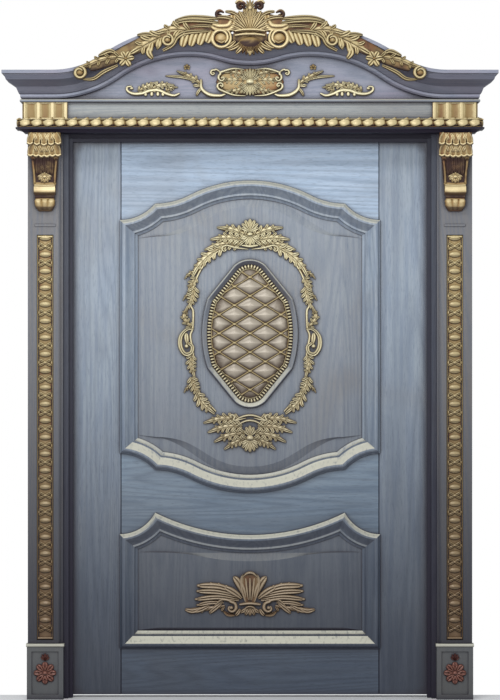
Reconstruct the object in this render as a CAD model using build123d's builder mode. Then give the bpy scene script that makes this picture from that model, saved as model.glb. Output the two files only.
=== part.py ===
"""A carved and gilded panelled door in its frame: hinged leaf, jambs, pilasters, header and pediment.

X runs to the viewer's right, Y away from the viewer and Z up, in millimetres. The origin lies on
the floor in the middle of the door's width and depth. Depths are counted as "proud": how far a
point stands in front of the wall's face, negative inside the wall.
"""
from build123d import *
from math import atan2, cos, degrees, hypot, pi, radians, sin, sqrt, tan
import os

# Door leaf
LEAF_WIDTH = 1304.0
LEAF_HEIGHT = 2012.0
LEAF_THICKNESS = 46.0
EDGE_GAP = 3.0
FLOOR_GAP = 8.0
STILE_WIDTH = 186.0
JOINT_GROOVE = 4.0
BOTTOM_RAIL_HEIGHT = 166.0
LOWER_PANEL_SIDE = 415.0
MIDDLE_RAIL_SIDE = 293.0
TOP_RAIL_SIDE = 292.0

# Panels and their mouldings
MOULDING_LAP = 6.0
MOULDING_WIDTH = 65.0
MOULDING_RISE = 24.0
PANEL_RECESS = 8.0
PANEL_PLAY = 1.0
FIELD_SIDE_INSET = 135.0
FIELD_CORNER_INSET = 59.0
FIELD_MIDDLE_INSET = 95.0
LOWER_FIELD_INSET = 76.0
EAR_INSET = 128.0
EAR_RISE = 59.0
CROWN_RISE = 84.0
PEAK_RISE = 78.0
DIP_DROP = 81.0
OGEE_SHARE = 0.36

# Jambs and stops
JAMB_THICKNESS = 40.0
JAMB_DEPTH = 100.0
STOP_THICKNESS = 14.0
STOP_DEPTH = 34.0
STOP_GAP = 0.5
FIXING_RADIUS = 4.0
FIXING_COUNT = 4
FIXING_SPACING = 560.0
FIXING_FIRST = 170.0
FIXING_SETBACK = 10.0

# Hinges
HINGE_HEIGHT = 120.0
HINGE_END_DISTANCE = 230.0
HINGE_PLATE_THICKNESS = 2.5
HINGE_PLATE_WIDTH = 34.0
KNUCKLE_RADIUS = 7.0
KNUCKLE_COUNT = 5
KNUCKLE_GAP = 0.4
BARREL_STANDOFF = 0.5
PIN_RADIUS = 4.0
PIN_CLEARANCE = 0.05
PIN_HEAD_RADIUS = 6.0
PIN_HEAD_HEIGHT = 5.0
SCREW_RADIUS = 2.5
SCREW_HEAD_RADIUS = 4.5
SCREW_LENGTH = 30.0
SCREW_CLEARANCE = 0.1

# Pilasters and plinths
CASING_REVEAL = 20.0
PILASTER_WIDTH = 125.0
PILASTER_THICKNESS = 34.0
EDGE_STEP = 7.0
CHANNEL_WIDTH = 60.0
CHANNEL_DEPTH = 9.0
CHANNEL_MARGIN = 12.0
CHANNEL_TOP_DROP = 364.0
STRIP_PLAY = 0.5
HUSK_PITCH = 30.0
HUSK_RISE = 11.0
STRIP_BASE = 3.0
NECKING_DROP = 326.0
NECKING_HEIGHT = 8.0
NECKING_RISE = 4.0
PLINTH_HEIGHT = 189.0
PLINTH_THICKNESS = 44.0
PLINTH_LAP = 3.0
PLINTH_CAP_HEIGHT = 11.0
PLINTH_CAP_LAP = 5.0
PLINTH_FRAME = 17.0
PLINTH_SINK = 5.0
ROSETTE_RADIUS = 41.0
ROSETTE_RISE = 14.0
PETAL_COUNT = 8

# Header
HEAD_REVEAL = 13.0
HEADER_PROUD = 90.0
HEADER_OVERHANG = 6.0
BOARD_THICKNESS = 22.0
SOFFIT_THICKNESS = 18.0
BED_COVE = ((0.0, 5.0), (7.0, 11.0), (12.0, 25.0))
ROPE_REACH = 32.0
ROPE_HEIGHT = 30.0
ROPE_PITCH = 41.0
ROPE_GROOVE = 9.0
ROPE_SLANT = 32.0
FRIEZE_HEIGHT = 90.0
BLOCK_WIDTH = 162.0
BLOCK_THICKNESS = 10.0
FLUTE_COUNT = 3
FLUTE_WIDTH = 34.0
FLUTE_FILLET = 17.0
FLUTE_DEPTH = 5.0
CAP_HEIGHT = 11.0
CAP_LAP = 8.0

# Pediment
CORNICE_HEIGHT = 100.0
CORNICE_REACH = 79.0
PEDIMENT_SHOULDER = 104.0
PEDIMENT_HUMP = 216.0
PEDIMENT_RISE = 153.0
PEDIMENT_DIP = 33.0
SHOULDER_SHARE = 0.48
DIP_SHARE = 0.5
TYMPANUM_THICKNESS = 30.0
TYMPANUM_DROP = 6.0

# Corbels
CORBEL_WIDTH = 115.0
CORBEL_HEIGHT = 280.0
CORBEL_REACH = 80.0

# Carving on the leaf and on the header
MEDALLION_LIFT = 11.0
RING_HALF_WIDTH = 175.0
RING_HALF_HEIGHT = 270.0
RING_NECK = (0.33, 0.915)
RING_SHOULDER = (0.88, 0.474)
RING_WIDTH = 16.0
RING_RISE = 16.0
RING_EASE = 4.0
BORDER_WIDTH = 21.0
BORDER_RISE = 10.0
RIB_PITCH = 12.0
RIB_WIDTH = 6.0
GROUND_RISE = 4.0
LATTICE_PITCH = 112.0
LATTICE_STEP = 68.0
LATTICE_BAR = 11.0
LATTICE_RISE = 9.0
PILLOW_RISE = 7.0
PILLOW_MARGIN = 9.0
PILLOW_SIDE_CLEAR = 80.0
PILLOW_END_CLEAR = 90.0
WREATH_HALF_WIDTH = 232.0
WREATH_HALF_HEIGHT = 356.0
WREATH_STEM = 9.0
WREATH_RISE = 14.0
WREATH_LEAF = 74.0
WREATH_LEAF_WIDTH = 24.0
WREATH_LEAF_TURN = 34.0
WREATH_SWEEP = 62.0
WREATH_STATIONS = 9
ORNAMENT_RISE = 18.0
ORNAMENT_HEIGHT = 181.0
CREST_RISE = 26.0
TYMPANUM_RISE = 22.0

# Places worked out from the sizes above
half_leaf = LEAF_WIDTH / 2
leaf_top = FLOOR_GAP + LEAF_HEIGHT
jamb_face = half_leaf + EDGE_GAP
head_z = leaf_top + EDGE_GAP
casing_inner = jamb_face + CASING_REVEAL
casing_outer = casing_inner + PILASTER_WIDTH
casing_middle = (casing_inner + casing_outer) / 2
header_z = head_z + HEAD_REVEAL
soffit_top = header_z + SOFFIT_THICKNESS
rope_top = soffit_top + ROPE_HEIGHT
frieze_top = soffit_top + FRIEZE_HEIGHT
pediment_z = frieze_top + CAP_HEIGHT
header_half = casing_outer + HEADER_OVERHANG
block_outer = header_half + BLOCK_THICKNESS
channel_top = header_z - CHANNEL_TOP_DROP
plinth_top = PLINTH_HEIGHT + PLINTH_CAP_HEIGHT
channel_bottom = plinth_top + CHANNEL_MARGIN
corona_proud = HEADER_PROUD + CORNICE_REACH
front_reach = corona_proud + CREST_RISE
back_reach = JAMB_DEPTH + MOULDING_RISE
wall_y = (front_reach - back_reach) / 2
leaf_front = LEAF_THICKNESS - JAMB_DEPTH
leaf_back = -JAMB_DEPTH
opening_half = half_leaf - STILE_WIDTH
moulding_half = opening_half + MOULDING_LAP
lower_bottom = FLOOR_GAP + BOTTOM_RAIL_HEIGHT
lower_corner = lower_bottom + LOWER_PANEL_SIDE
upper_low = lower_corner + MIDDLE_RAIL_SIDE
upper_high = leaf_top - TOP_RAIL_SIDE
upper_middle = (upper_low + upper_high) / 2
medallion_z = upper_middle + MEDALLION_LIFT


def face_plane(proud):
    """Plane parallel to the wall, this far in front of it: X right, Y up."""
    return Plane.XZ.offset(proud - wall_y)


def depth_y(proud):
    """Y of a point this far in front of the wall."""
    return wall_y - proud


def board(x_span, proud_span, z_span, mode=Mode.ADD):
    """Adds a board to the part being built, or cuts its space out."""
    width, height = x_span[1] - x_span[0], z_span[1] - z_span[0]
    with BuildSketch(face_plane(min(proud_span))) as face:
        with Locations((x_span[0] + width / 2, z_span[0] + height / 2)):
            Rectangle(abs(width), abs(height))
    extrude(face.sketch, amount=abs(proud_span[1] - proud_span[0]), mode=mode)


def finish(part, name):
    """Labels a finished piece and writes its file."""
    part.label = name
    export_step(part, f"parts/{name}.step")


def finish_pair(part, name):
    """Writes a right-hand piece and its mirror image on the left."""
    finish(part, f"{name}_right")
    finish(mirror(part, about=Plane.YZ, mode=Mode.PRIVATE), f"{name}_left")


# Carving is made of faceted lobes, stems and knobs that lie on a ground plane
def lobe(ground, x, z, angle, length, width, rise):
    """A pointed leaf lobe that starts at x, z and runs at this angle over the ground plane."""
    place = ground * Pos(x, z) * Rot(0, 0, angle)
    points = []
    for along, spread, height in ((0, 0.4, 0.5), (0.3, 1, 1), (0.7, 0.85, 0.85), (1, 0.1, 0.3)):
        points += [(along * length, side * spread * width / 2, 0) for side in (-1, 1)]
        points.append((along * length, 0, height * rise))
    return place * ConvexPolyhedron(points, mode=Mode.PRIVATE)


def stem(ground, route, width, rise):
    """A ridged stem along a list of points."""
    runs = []
    for start, end in zip(route, route[1:]):
        length = hypot(end[0] - start[0], end[1] - start[1])
        place = ground * Pos(*start) * Rot(0, 0, degrees(atan2(end[1] - start[1], end[0] - start[0])))
        points = []
        for along in (-width * 0.3, length + width * 0.3):
            points += [(along, side * width / 2, 0) for side in (-1, 1)]
            points.append((along, 0, rise))
        runs.append(place * ConvexPolyhedron(points, mode=Mode.PRIVATE))
    return runs


def knob(ground, x, z, radius, rise, stretch=1.0):
    """A rounded knob with facets; stretch makes it taller than it is wide."""
    points = []
    for spread, height in ((1.0, 0.0), (0.85, 0.6), (0.45, 1.0)):
        for index in range(8):
            turn = pi * (index + 0.5) / 4
            points.append(
                (spread * radius * cos(turn), stretch * spread * radius * sin(turn), height * rise)
            )
    return ground * Pos(x, z) * ConvexPolyhedron(points, mode=Mode.PRIVATE)


def scroll(ground, x, z, radius, turn, sweep, width, rise):
    """A scroll of stem round a knob, from this turn on, in degrees."""
    steps = 6
    route = []
    for index in range(steps + 1):
        angle = radians(turn + sweep * index / steps)
        reach = radius * (1 - 0.45 * index / steps)
        route.append((x + reach * cos(angle), z + reach * sin(angle)))
    return stem(ground, route, width, rise) + [knob(ground, x, z, radius * 0.42, rise * 1.1)]


def both_sides(pieces):
    """Carving on the right with its mirror image on the left."""
    return pieces + [mirror(piece, about=Plane.YZ, mode=Mode.PRIVATE) for piece in pieces]


# Outlines of the panels, drawn in the line builder that is open
def eared_end(side, way, half, corner_z):
    """A quarter of the upper panel's outline: an arc to the ear, then an ogee to the crown."""
    ear = (side * (half - EAR_INSET), corner_z + way * EAR_RISE)
    crown = (0, ear[1] + way * CROWN_RISE)
    turn = (ear[0] * (1 - OGEE_SHARE), ear[1] + OGEE_SHARE * (crown[1] - ear[1]))
    TangentArc((side * half, corner_z), ear, tangent=(-side, 0))
    TangentArc(ear, turn, tangent=(-side, 0))
    TangentArc(crown, turn, tangent=(side, 0))


def peaked_end(side, half, corner_z):
    """Half of the lower panel's top: an arc up to the peak, then one sagging arc."""
    peak = (side * (half - EAR_INSET), corner_z + PEAK_RISE)
    TangentArc((side * half, corner_z), peak, tangent=(-side, 0))
    TangentArc((0, peak[1] - DIP_DROP), peak, tangent=(side, 0))


def upper_outline():
    """The outer line of the upper panel's moulding."""
    for side in (1, -1):
        eared_end(side, 1, moulding_half, upper_high)
        eared_end(side, -1, moulding_half, upper_low)
        Line((side * moulding_half, upper_low), (side * moulding_half, upper_high))


def lower_outline():
    """The outer line of the lower panel's moulding."""
    for side in (1, -1):
        peaked_end(side, moulding_half, lower_corner)
        Line((side * moulding_half, lower_corner), (side * moulding_half, lower_bottom))
    Line((-moulding_half, lower_bottom), (moulding_half, lower_bottom))


def field_outline(half, low, low_middle, high, high_middle):
    """A raised field with gently curved ends."""
    for side in (1, -1):
        for corner_z, middle_z in ((low, low_middle), (high, high_middle)):
            Bezier(
                (side * half, corner_z),
                (side * half * 0.5, corner_z),
                (side * half * 0.5, middle_z),
                (0, middle_z),
            )
        Line((side * half, low), (side * half, high))


# Section of the panel mouldings, as insets from the outer line and heights over the leaf's face
moulding_outside = ((0, 8), (4, 12), (9, 22), (14, MOULDING_RISE))
moulding_inside = (
    (20, MOULDING_RISE), (29, 17), (40, 8), (46, 4.5), (53, 6), (56, 0), (MOULDING_WIDTH, -4),
    (MOULDING_WIDTH, -PANEL_RECESS),
)


def inset_face(outline, inset, proud):
    """The face inside an outline, drawn in by this much, on a plane in front of the wall."""
    with BuildSketch(face_plane(proud)) as face:
        with BuildLine():
            outline()
        make_face()
        if inset:
            offset(amount=-inset, kind=Kind.INTERSECTION)
    return face.sketch


def make_moulding(name, outline):
    """A frame of moulding round a panel, on the leaf's front and again on its back."""
    with BuildPart() as moulding:
        extrude(inset_face(outline, MOULDING_LAP, leaf_front - PANEL_RECESS), amount=PANEL_RECESS)
        extrude(inset_face(outline, 0, leaf_front), amount=moulding_outside[0][1])
        outside = [inset_face(outline, inset, leaf_front + rise) for inset, rise in moulding_outside]
        loft(sections=outside, ruled=True)
        inside = [inset_face(outline, inset, leaf_front + rise) for inset, rise in moulding_inside]
        loft(sections=inside, ruled=True, mode=Mode.SUBTRACT)
    finish(moulding.part, name)
    leaf_middle = face_plane((leaf_front + leaf_back) / 2)
    finish(mirror(moulding.part, about=leaf_middle, mode=Mode.PRIVATE), f"{name}_back")


def make_mouldings():
    """The frames of moulding round the two panels."""
    make_moulding("upper_panel_moulding", upper_outline)
    make_moulding("lower_panel_moulding", lower_outline)


def make_panel(name, outline, foot, field):
    """A panel with a raised and bevelled field on both faces."""
    edge_front, edge_back = leaf_front - PANEL_RECESS, leaf_back + PANEL_RECESS
    with BuildPart() as panel:
        edge = inset_face(outline, MOULDING_LAP + PANEL_PLAY, edge_back)
        extrude(edge, amount=edge_front - edge_back)
        for proud, rise in ((edge_front, PANEL_RECESS), (edge_back, -PANEL_RECESS)):
            for level, sizes in ((proud, foot), (proud + rise, field)):
                with BuildSketch(face_plane(level)):
                    with BuildLine():
                        field_outline(*sizes)
                    make_face()
            loft(ruled=True)
    finish(panel.part, name)


def make_panels():
    """Both panels, with the lines of their bevels' feet and of their fields."""
    foot = MOULDING_WIDTH + PANEL_PLAY
    ends = EAR_RISE + CROWN_RISE
    field_half = moulding_half - FIELD_SIDE_INSET
    make_panel(
        "upper_panel",
        upper_outline,
        (moulding_half - foot, upper_low + foot, upper_low - ends + foot, upper_high - foot,
         upper_high + ends - foot),
        (field_half, upper_low + FIELD_CORNER_INSET, upper_low - ends + FIELD_MIDDLE_INSET,
         upper_high - FIELD_CORNER_INSET, upper_high + ends - FIELD_MIDDLE_INSET),
    )
    dip_z = lower_corner + PEAK_RISE - DIP_DROP
    foot_low, field_low = lower_bottom + foot, lower_bottom + LOWER_FIELD_INSET
    make_panel(
        "lower_panel",
        lower_outline,
        (moulding_half - foot, foot_low, foot_low, lower_corner - foot, dip_z - foot),
        (field_half, field_low, field_low, lower_corner - foot, dip_z - FIELD_MIDDLE_INSET),
    )


rail_spans = {
    "top_rail": (upper_high - MOULDING_LAP, leaf_top),
    "middle_rail": (lower_corner - MOULDING_LAP, upper_low + MOULDING_LAP),
    "bottom_rail": (FLOOR_GAP, lower_bottom + MOULDING_LAP),
}


def make_rails():
    """The three rails between the stiles, cut to the panels' outlines."""
    with BuildPart() as openings:
        for outline in (upper_outline, lower_outline):
            extrude(inset_face(outline, MOULDING_LAP, leaf_back), amount=LEAF_THICKNESS)
    for name, span in rail_spans.items():
        with BuildPart() as rail:
            board((-opening_half, opening_half), (leaf_back, leaf_front), span)
            add(openings.part, mode=Mode.SUBTRACT)
        finish(rail.part, name)


# Hinges
hinge_x = -(half_leaf + EDGE_GAP / 2)
hinge_proud = leaf_back - BARREL_STANDOFF - KNUCKLE_RADIUS
hinge_heights = {
    "bottom": FLOOR_GAP + HINGE_END_DISTANCE,
    "middle": FLOOR_GAP + LEAF_HEIGHT / 2,
    "top": leaf_top - HINGE_END_DISTANCE,
}
knuckle_pitch = HINGE_HEIGHT / KNUCKLE_COUNT
sink_depth = (SCREW_HEAD_RADIUS - SCREW_RADIUS) / tan(radians(41))


def screw_spots(centre_z):
    """Depth and height of one hinge plate's four staggered screws."""
    rows = ((-0.38, 0.36), (-0.13, 0.68), (0.13, 0.68), (0.38, 0.36))
    return [
        (leaf_back + HINGE_PLATE_WIDTH * share, centre_z + HINGE_HEIGHT * row) for row, share in rows
    ]


def screw_planes(face_x, facing, centres):
    """A plane at each screw of the hinges at these heights, its normal out of the screw's head."""
    return [
        Plane(origin=(face_x, depth_y(proud), z), x_dir=(0, 0, 1), z_dir=(facing, 0, 0))
        for centre_z in centres
        for proud, z in screw_spots(centre_z)
    ]


def hinge_recesses(face_x, facing):
    """Cuts the hinge plates' seats and the screws' pilot holes out of the part being built."""
    seat = sorted((face_x, face_x - facing * HINGE_PLATE_THICKNESS))
    for centre_z in hinge_heights.values():
        heights = (centre_z - HINGE_HEIGHT / 2, centre_z + HINGE_HEIGHT / 2)
        board(seat, (leaf_back, leaf_back + HINGE_PLATE_WIDTH), heights, Mode.SUBTRACT)
    with Locations(*screw_planes(face_x, -facing, hinge_heights.values())):
        Cylinder(
            SCREW_RADIUS + SCREW_CLEARANCE,
            SCREW_LENGTH + 2,
            align=(Align.CENTER, Align.CENTER, Align.MIN),
            mode=Mode.SUBTRACT,
        )


def make_hinge_plate(name, centre_z, face_x, facing, knuckles):
    """One hinge plate with its knuckles, let in flush with the wood at face_x."""
    span = sorted((face_x, face_x - facing * HINGE_PLATE_THICKNESS))
    bottom = centre_z - HINGE_HEIGHT / 2
    with BuildPart() as plate:
        board(span, (leaf_back, leaf_back + HINGE_PLATE_WIDTH), (bottom, bottom + HINGE_HEIGHT))
        for index in knuckles:
            low = bottom + index * knuckle_pitch + KNUCKLE_GAP / 2
            high = low + knuckle_pitch - KNUCKLE_GAP
            board(span, (hinge_proud, leaf_back), (low, high))
            with Locations((hinge_x, depth_y(hinge_proud), (low + high) / 2)):
                Cylinder(KNUCKLE_RADIUS, high - low)
        with Locations((hinge_x, depth_y(hinge_proud), centre_z)):
            Cylinder(PIN_RADIUS + PIN_CLEARANCE, HINGE_HEIGHT, mode=Mode.SUBTRACT)
        with Locations(*screw_planes(face_x, facing, [centre_z])):
            CounterSinkHole(
                SCREW_RADIUS + SCREW_CLEARANCE, SCREW_HEAD_RADIUS + SCREW_CLEARANCE, depth=10
            )
    finish(plate.part, name)


def make_screws(name, face_x, facing):
    """All countersunk screws of one side, as one group."""
    with BuildPart() as screws:
        with BuildSketch(Plane.XZ):
            with BuildLine():
                Polyline(
                    (0, 0), (SCREW_HEAD_RADIUS, 0), (SCREW_RADIUS, -sink_depth),
                    (SCREW_RADIUS, 5 - SCREW_LENGTH), (0, -SCREW_LENGTH), close=True,
                )
            make_face()
        revolve(axis=Axis.Z)
    with BuildPart() as group:
        with Locations(*screw_planes(face_x, facing, hinge_heights.values())):
            add(screws.part)
    finish(group.part, name)


def make_hinges():
    """Three butt hinges with loose pins."""
    frame_x, leaf_x = -jamb_face, -half_leaf
    for name, centre_z in hinge_heights.items():
        frame_knuckles, door_knuckles = range(0, KNUCKLE_COUNT, 2), range(1, KNUCKLE_COUNT, 2)
        make_hinge_plate(f"hinge_frame_plate_{name}", centre_z, frame_x, 1, frame_knuckles)
        make_hinge_plate(f"hinge_door_plate_{name}", centre_z, leaf_x, -1, door_knuckles)
    with BuildPart() as hinge_pins:
        for centre_z in hinge_heights.values():
            top = centre_z + HINGE_HEIGHT / 2 - KNUCKLE_GAP / 2
            with Locations((hinge_x, depth_y(hinge_proud), top)):
                Cylinder(PIN_RADIUS, HINGE_HEIGHT, align=(Align.CENTER, Align.CENTER, Align.MAX))
                Cylinder(
                    PIN_HEAD_RADIUS, PIN_HEAD_HEIGHT, align=(Align.CENTER, Align.CENTER, Align.MIN)
                )
    finish(hinge_pins.part, "hinge_pins")
    make_screws("hinge_frame_screws", frame_x, 1)
    make_screws("hinge_door_screws", leaf_x, -1)


def joint_grooves(side):
    """Cuts a chamfer down the edge of the stile being built, beside each rail."""
    edge, front = side * opening_half, depth_y(leaf_front)
    for low, high in rail_spans.values():
        with BuildSketch(Plane.XY.offset(low)) as groove:
            with BuildLine():
                Polyline(
                    (edge, front),
                    (edge + side * JOINT_GROOVE, front),
                    (edge, front + JOINT_GROOVE),
                    close=True,
                )
            make_face()
        extrude(groove.sketch, amount=high - low, mode=Mode.SUBTRACT)


def make_stiles():
    """The two stiles of the leaf."""
    for side, name in ((-1, "stile_hinge_side"), (1, "stile_lock_side")):
        with BuildPart() as stile:
            width = sorted((side * half_leaf, side * opening_half))
            board(width, (leaf_back, leaf_front), (FLOOR_GAP, leaf_top))
            joint_grooves(side)
            if side < 0:
                hinge_recesses(-half_leaf, -1)
        finish(stile.part, name)


def make_jambs():
    """The jambs, the head and the planted stops."""
    jamb_outer = jamb_face + JAMB_THICKNESS
    jamb_top = head_z + JAMB_THICKNESS
    depth = (-JAMB_DEPTH, 0)
    for side, name in ((-1, "jamb_hinge_side"), (1, "jamb_lock_side")):
        with BuildPart() as jamb:
            board(sorted((side * jamb_face, side * jamb_outer)), depth, (0, jamb_top))
            if side < 0:
                hinge_recesses(-jamb_face, 1)
            for index in range(FIXING_COUNT):
                spot_z = FIXING_FIRST + index * FIXING_SPACING
                spot = (side * jamb_face, depth_y(-FIXING_SETBACK), spot_z)
                with Locations(Plane(origin=spot, z_dir=(-side, 0, 0))):
                    Hole(FIXING_RADIUS, JAMB_THICKNESS * 2)
        finish(jamb.part, name)
    with BuildPart() as jamb_head:
        board((-jamb_face, jamb_face), depth, (head_z, jamb_top))
    finish(jamb_head.part, "jamb_head")

    stop_back = leaf_front + STOP_GAP
    stop_depth = (stop_back, stop_back + STOP_DEPTH)
    stop_inner = jamb_face - STOP_THICKNESS
    for side, name in ((-1, "stop_hinge_side"), (1, "stop_lock_side")):
        with BuildPart() as stop:
            board(sorted((side * stop_inner, side * jamb_face)), stop_depth, (0, head_z))
        finish(stop.part, name)
    with BuildPart() as stop_head:
        board((-stop_inner, stop_inner), stop_depth, (head_z - STOP_THICKNESS, head_z))
    finish(stop_head.part, "stop_head")


def make_pilasters():
    """The fluted face casings with their plinths and carved strips."""
    step = EDGE_STEP
    with BuildPart() as pilaster:
        with BuildSketch(Plane.XY.offset(plinth_top)):
            with BuildLine():
                Polyline(
                    (casing_inner, depth_y(0)),
                    (casing_inner, depth_y(PILASTER_THICKNESS - 2 * step)),
                    (casing_inner + step, depth_y(PILASTER_THICKNESS - 2 * step)),
                    (casing_inner + step, depth_y(PILASTER_THICKNESS - step)),
                    (casing_inner + 2 * step, depth_y(PILASTER_THICKNESS)),
                    (casing_outer, depth_y(PILASTER_THICKNESS)),
                    (casing_outer, depth_y(0)),
                    close=True,
                )
            make_face()
        extrude(amount=header_z - plinth_top)
        channel = (casing_middle - CHANNEL_WIDTH / 2, casing_middle + CHANNEL_WIDTH / 2)
        channel_proud = PILASTER_THICKNESS - CHANNEL_DEPTH
        board(channel, (channel_proud, PILASTER_THICKNESS), (channel_bottom, channel_top), Mode.SUBTRACT)
        necking_z = header_z - NECKING_DROP
        necking = (PILASTER_THICKNESS, PILASTER_THICKNESS + NECKING_RISE)
        board((channel[0] - 8, channel[1] + 8), necking, (necking_z - NECKING_HEIGHT, necking_z))
    finish_pair(pilaster.part, "pilaster")

    strip_low, strip_high = channel_bottom + STRIP_PLAY, channel_top - STRIP_PLAY
    husks = int((strip_high - strip_low) / HUSK_PITCH)
    pitch = (strip_high - strip_low) / husks
    with BuildPart() as pilaster_carving:
        strip_left = channel[0] + STRIP_PLAY
        with BuildSketch(Plane(origin=(strip_left, 0, 0), x_dir=(0, -1, 0), z_dir=(-1, 0, 0))):
            with BuildLine():
                outline = [(channel_proud - wall_y, strip_low)]
                for index in range(husks):
                    low = strip_low + index * pitch
                    crown = channel_proud + (HUSK_RISE if index % 2 else HUSK_RISE * 0.85)
                    for share, proud in ((0, channel_proud + STRIP_BASE), (0.3, crown), (0.7, crown)):
                        outline.append((proud - wall_y, low + share * pitch))
                outline.append((channel_proud + STRIP_BASE - wall_y, strip_high))
                outline.append((channel_proud - wall_y, strip_high))
                Polyline(*outline, close=True)
            make_face()
        extrude(amount=-(CHANNEL_WIDTH - 2 * STRIP_PLAY))
        with BuildSketch(Plane.XY.offset(strip_low)):
            with BuildLine():
                half = CHANNEL_WIDTH / 2 - STRIP_PLAY
                Polyline(
                    (casing_middle - half, depth_y(channel_proud)),
                    (casing_middle - half, depth_y(channel_proud + STRIP_BASE)),
                    (casing_middle - half * 0.55, depth_y(channel_proud + HUSK_RISE * 0.8)),
                    (casing_middle, depth_y(channel_proud + HUSK_RISE)),
                    (casing_middle + half * 0.55, depth_y(channel_proud + HUSK_RISE * 0.8)),
                    (casing_middle + half, depth_y(channel_proud + STRIP_BASE)),
                    (casing_middle + half, depth_y(channel_proud)),
                    close=True,
                )
            make_face()
        extrude(amount=strip_high - strip_low, mode=Mode.INTERSECT)
    finish_pair(pilaster_carving.part, "pilaster_carving")


def make_plinths():
    """Plinth blocks with a sunk front and a rosette, and their caps."""
    inner, outer = casing_inner - PLINTH_LAP, casing_outer + PLINTH_LAP
    sunk_proud = PLINTH_THICKNESS - PLINTH_SINK
    with BuildPart() as plinth:
        board((inner, outer), (0, PLINTH_THICKNESS), (0, PLINTH_HEIGHT))
        board(
            (inner + PLINTH_FRAME, outer - PLINTH_FRAME),
            (sunk_proud, PLINTH_THICKNESS),
            (PLINTH_FRAME, PLINTH_HEIGHT - PLINTH_FRAME),
            Mode.SUBTRACT,
        )
    finish_pair(plinth.part, "plinth")
    with BuildPart() as plinth_cap:
        board(
            (inner - PLINTH_CAP_LAP / 2, outer + PLINTH_CAP_LAP / 2),
            (0, PLINTH_THICKNESS + PLINTH_CAP_LAP),
            (PLINTH_HEIGHT, plinth_top),
        )
        nosing = plinth_cap.edges().filter_by(Axis.X).group_by(Axis.Y)[0]
        chamfer(nosing, PLINTH_CAP_HEIGHT / 4)
    finish_pair(plinth_cap.part, "plinth_cap")

    ground = face_plane(sunk_proud)
    centre_z = PLINTH_HEIGHT / 2
    carving = [knob(ground, casing_middle, centre_z, ROSETTE_RADIUS * 0.36, ROSETTE_RISE)]
    for index in range(PETAL_COUNT):
        turn = 360 * index / PETAL_COUNT
        size = (ROSETTE_RADIUS, ROSETTE_RADIUS * 0.6, ROSETTE_RISE * 0.7)
        carving.append(lobe(ground, casing_middle, centre_z, turn, *size))
    tip_z = centre_z + ROSETTE_RADIUS * 0.8
    carving.append(lobe(ground, casing_middle, tip_z, 90, PLINTH_HEIGHT - PLINTH_FRAME - tip_z - 4, 18, 8))
    with BuildPart() as plinth_rosette:
        add(carving)
    finish_pair(plinth_rosette.part, "plinth_rosette")


def make_corbels():
    """Carved corbels under the header: acanthus, tapering shaft, cushion and bulb."""
    reach = CORBEL_REACH
    side_profile = (
        (0, 0), (reach, 0), (reach, -0.07), (0.93 * reach, -0.2), (0.72 * reach, -0.345),
        (0.62 * reach, -0.35), (0.5 * reach, -0.5), (0.44 * reach, -0.655), (0.56 * reach, -0.69),
        (0.56 * reach, -0.77), (0.36 * reach, -0.8), (0.36 * reach, -0.84), (0.48 * reach, -0.88),
        (0.42 * reach, -0.95), (0.2 * reach, -1), (0, -1),
    )
    front_profile = (
        (0.5, 0), (0.5, -0.1), (0.47, -0.22), (0.42, -0.345), (0.42, -0.36), (0.35, -0.655),
        (0.33, -0.66), (0.33, -0.8), (0.28, -0.8), (0.28, -0.84), (0.32, -0.86), (0.31, -0.93),
        (0.2, -1),
    )
    ground = face_plane(PILASTER_THICKNESS)
    with BuildPart() as corbel:
        left = casing_middle - CORBEL_WIDTH / 2
        with BuildSketch(Plane(origin=(left, 0, 0), x_dir=(0, -1, 0), z_dir=(-1, 0, 0))):
            with BuildLine():
                start = PILASTER_THICKNESS - wall_y
                points = [(start + u, header_z + v * CORBEL_HEIGHT) for u, v in side_profile]
                Polyline(*points, close=True)
            make_face()
        extrude(amount=-CORBEL_WIDTH)
        with BuildSketch(ground):
            with BuildLine():
                right = [
                    (casing_middle + u * CORBEL_WIDTH, header_z + v * CORBEL_HEIGHT)
                    for u, v in front_profile
                ]
                mirrored = [(2 * casing_middle - x, z) for x, z in reversed(right)]
                Polyline(*right, *mirrored, close=True)
            make_face()
        extrude(amount=reach, mode=Mode.INTERSECT)
        leaf_ground = face_plane(PILASTER_THICKNESS + 0.72 * reach)
        leaf_length = 0.34 * CORBEL_HEIGHT
        leaf_rise = 0.27 * reach
        leaf_z = header_z - 0.01 * CORBEL_HEIGHT
        carving = [lobe(leaf_ground, casing_middle, leaf_z, -90, leaf_length, 26, leaf_rise)]
        for side in (-1, 1):
            for shift, turn, share in ((20, 3, 0.92), (40, 5, 0.72)):
                x, way = casing_middle + side * shift, -90 + side * turn
                carving.append(lobe(leaf_ground, x, leaf_z, way, leaf_length * share, 18, leaf_rise))
        rosette_z = header_z - 0.5 * CORBEL_HEIGHT
        rosette_ground = face_plane(PILASTER_THICKNESS + 0.42 * reach)
        carving.append(knob(rosette_ground, casing_middle, rosette_z, 17, 0.2 * reach))
        add(carving)
    finish_pair(corbel.part, "corbel")


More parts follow.
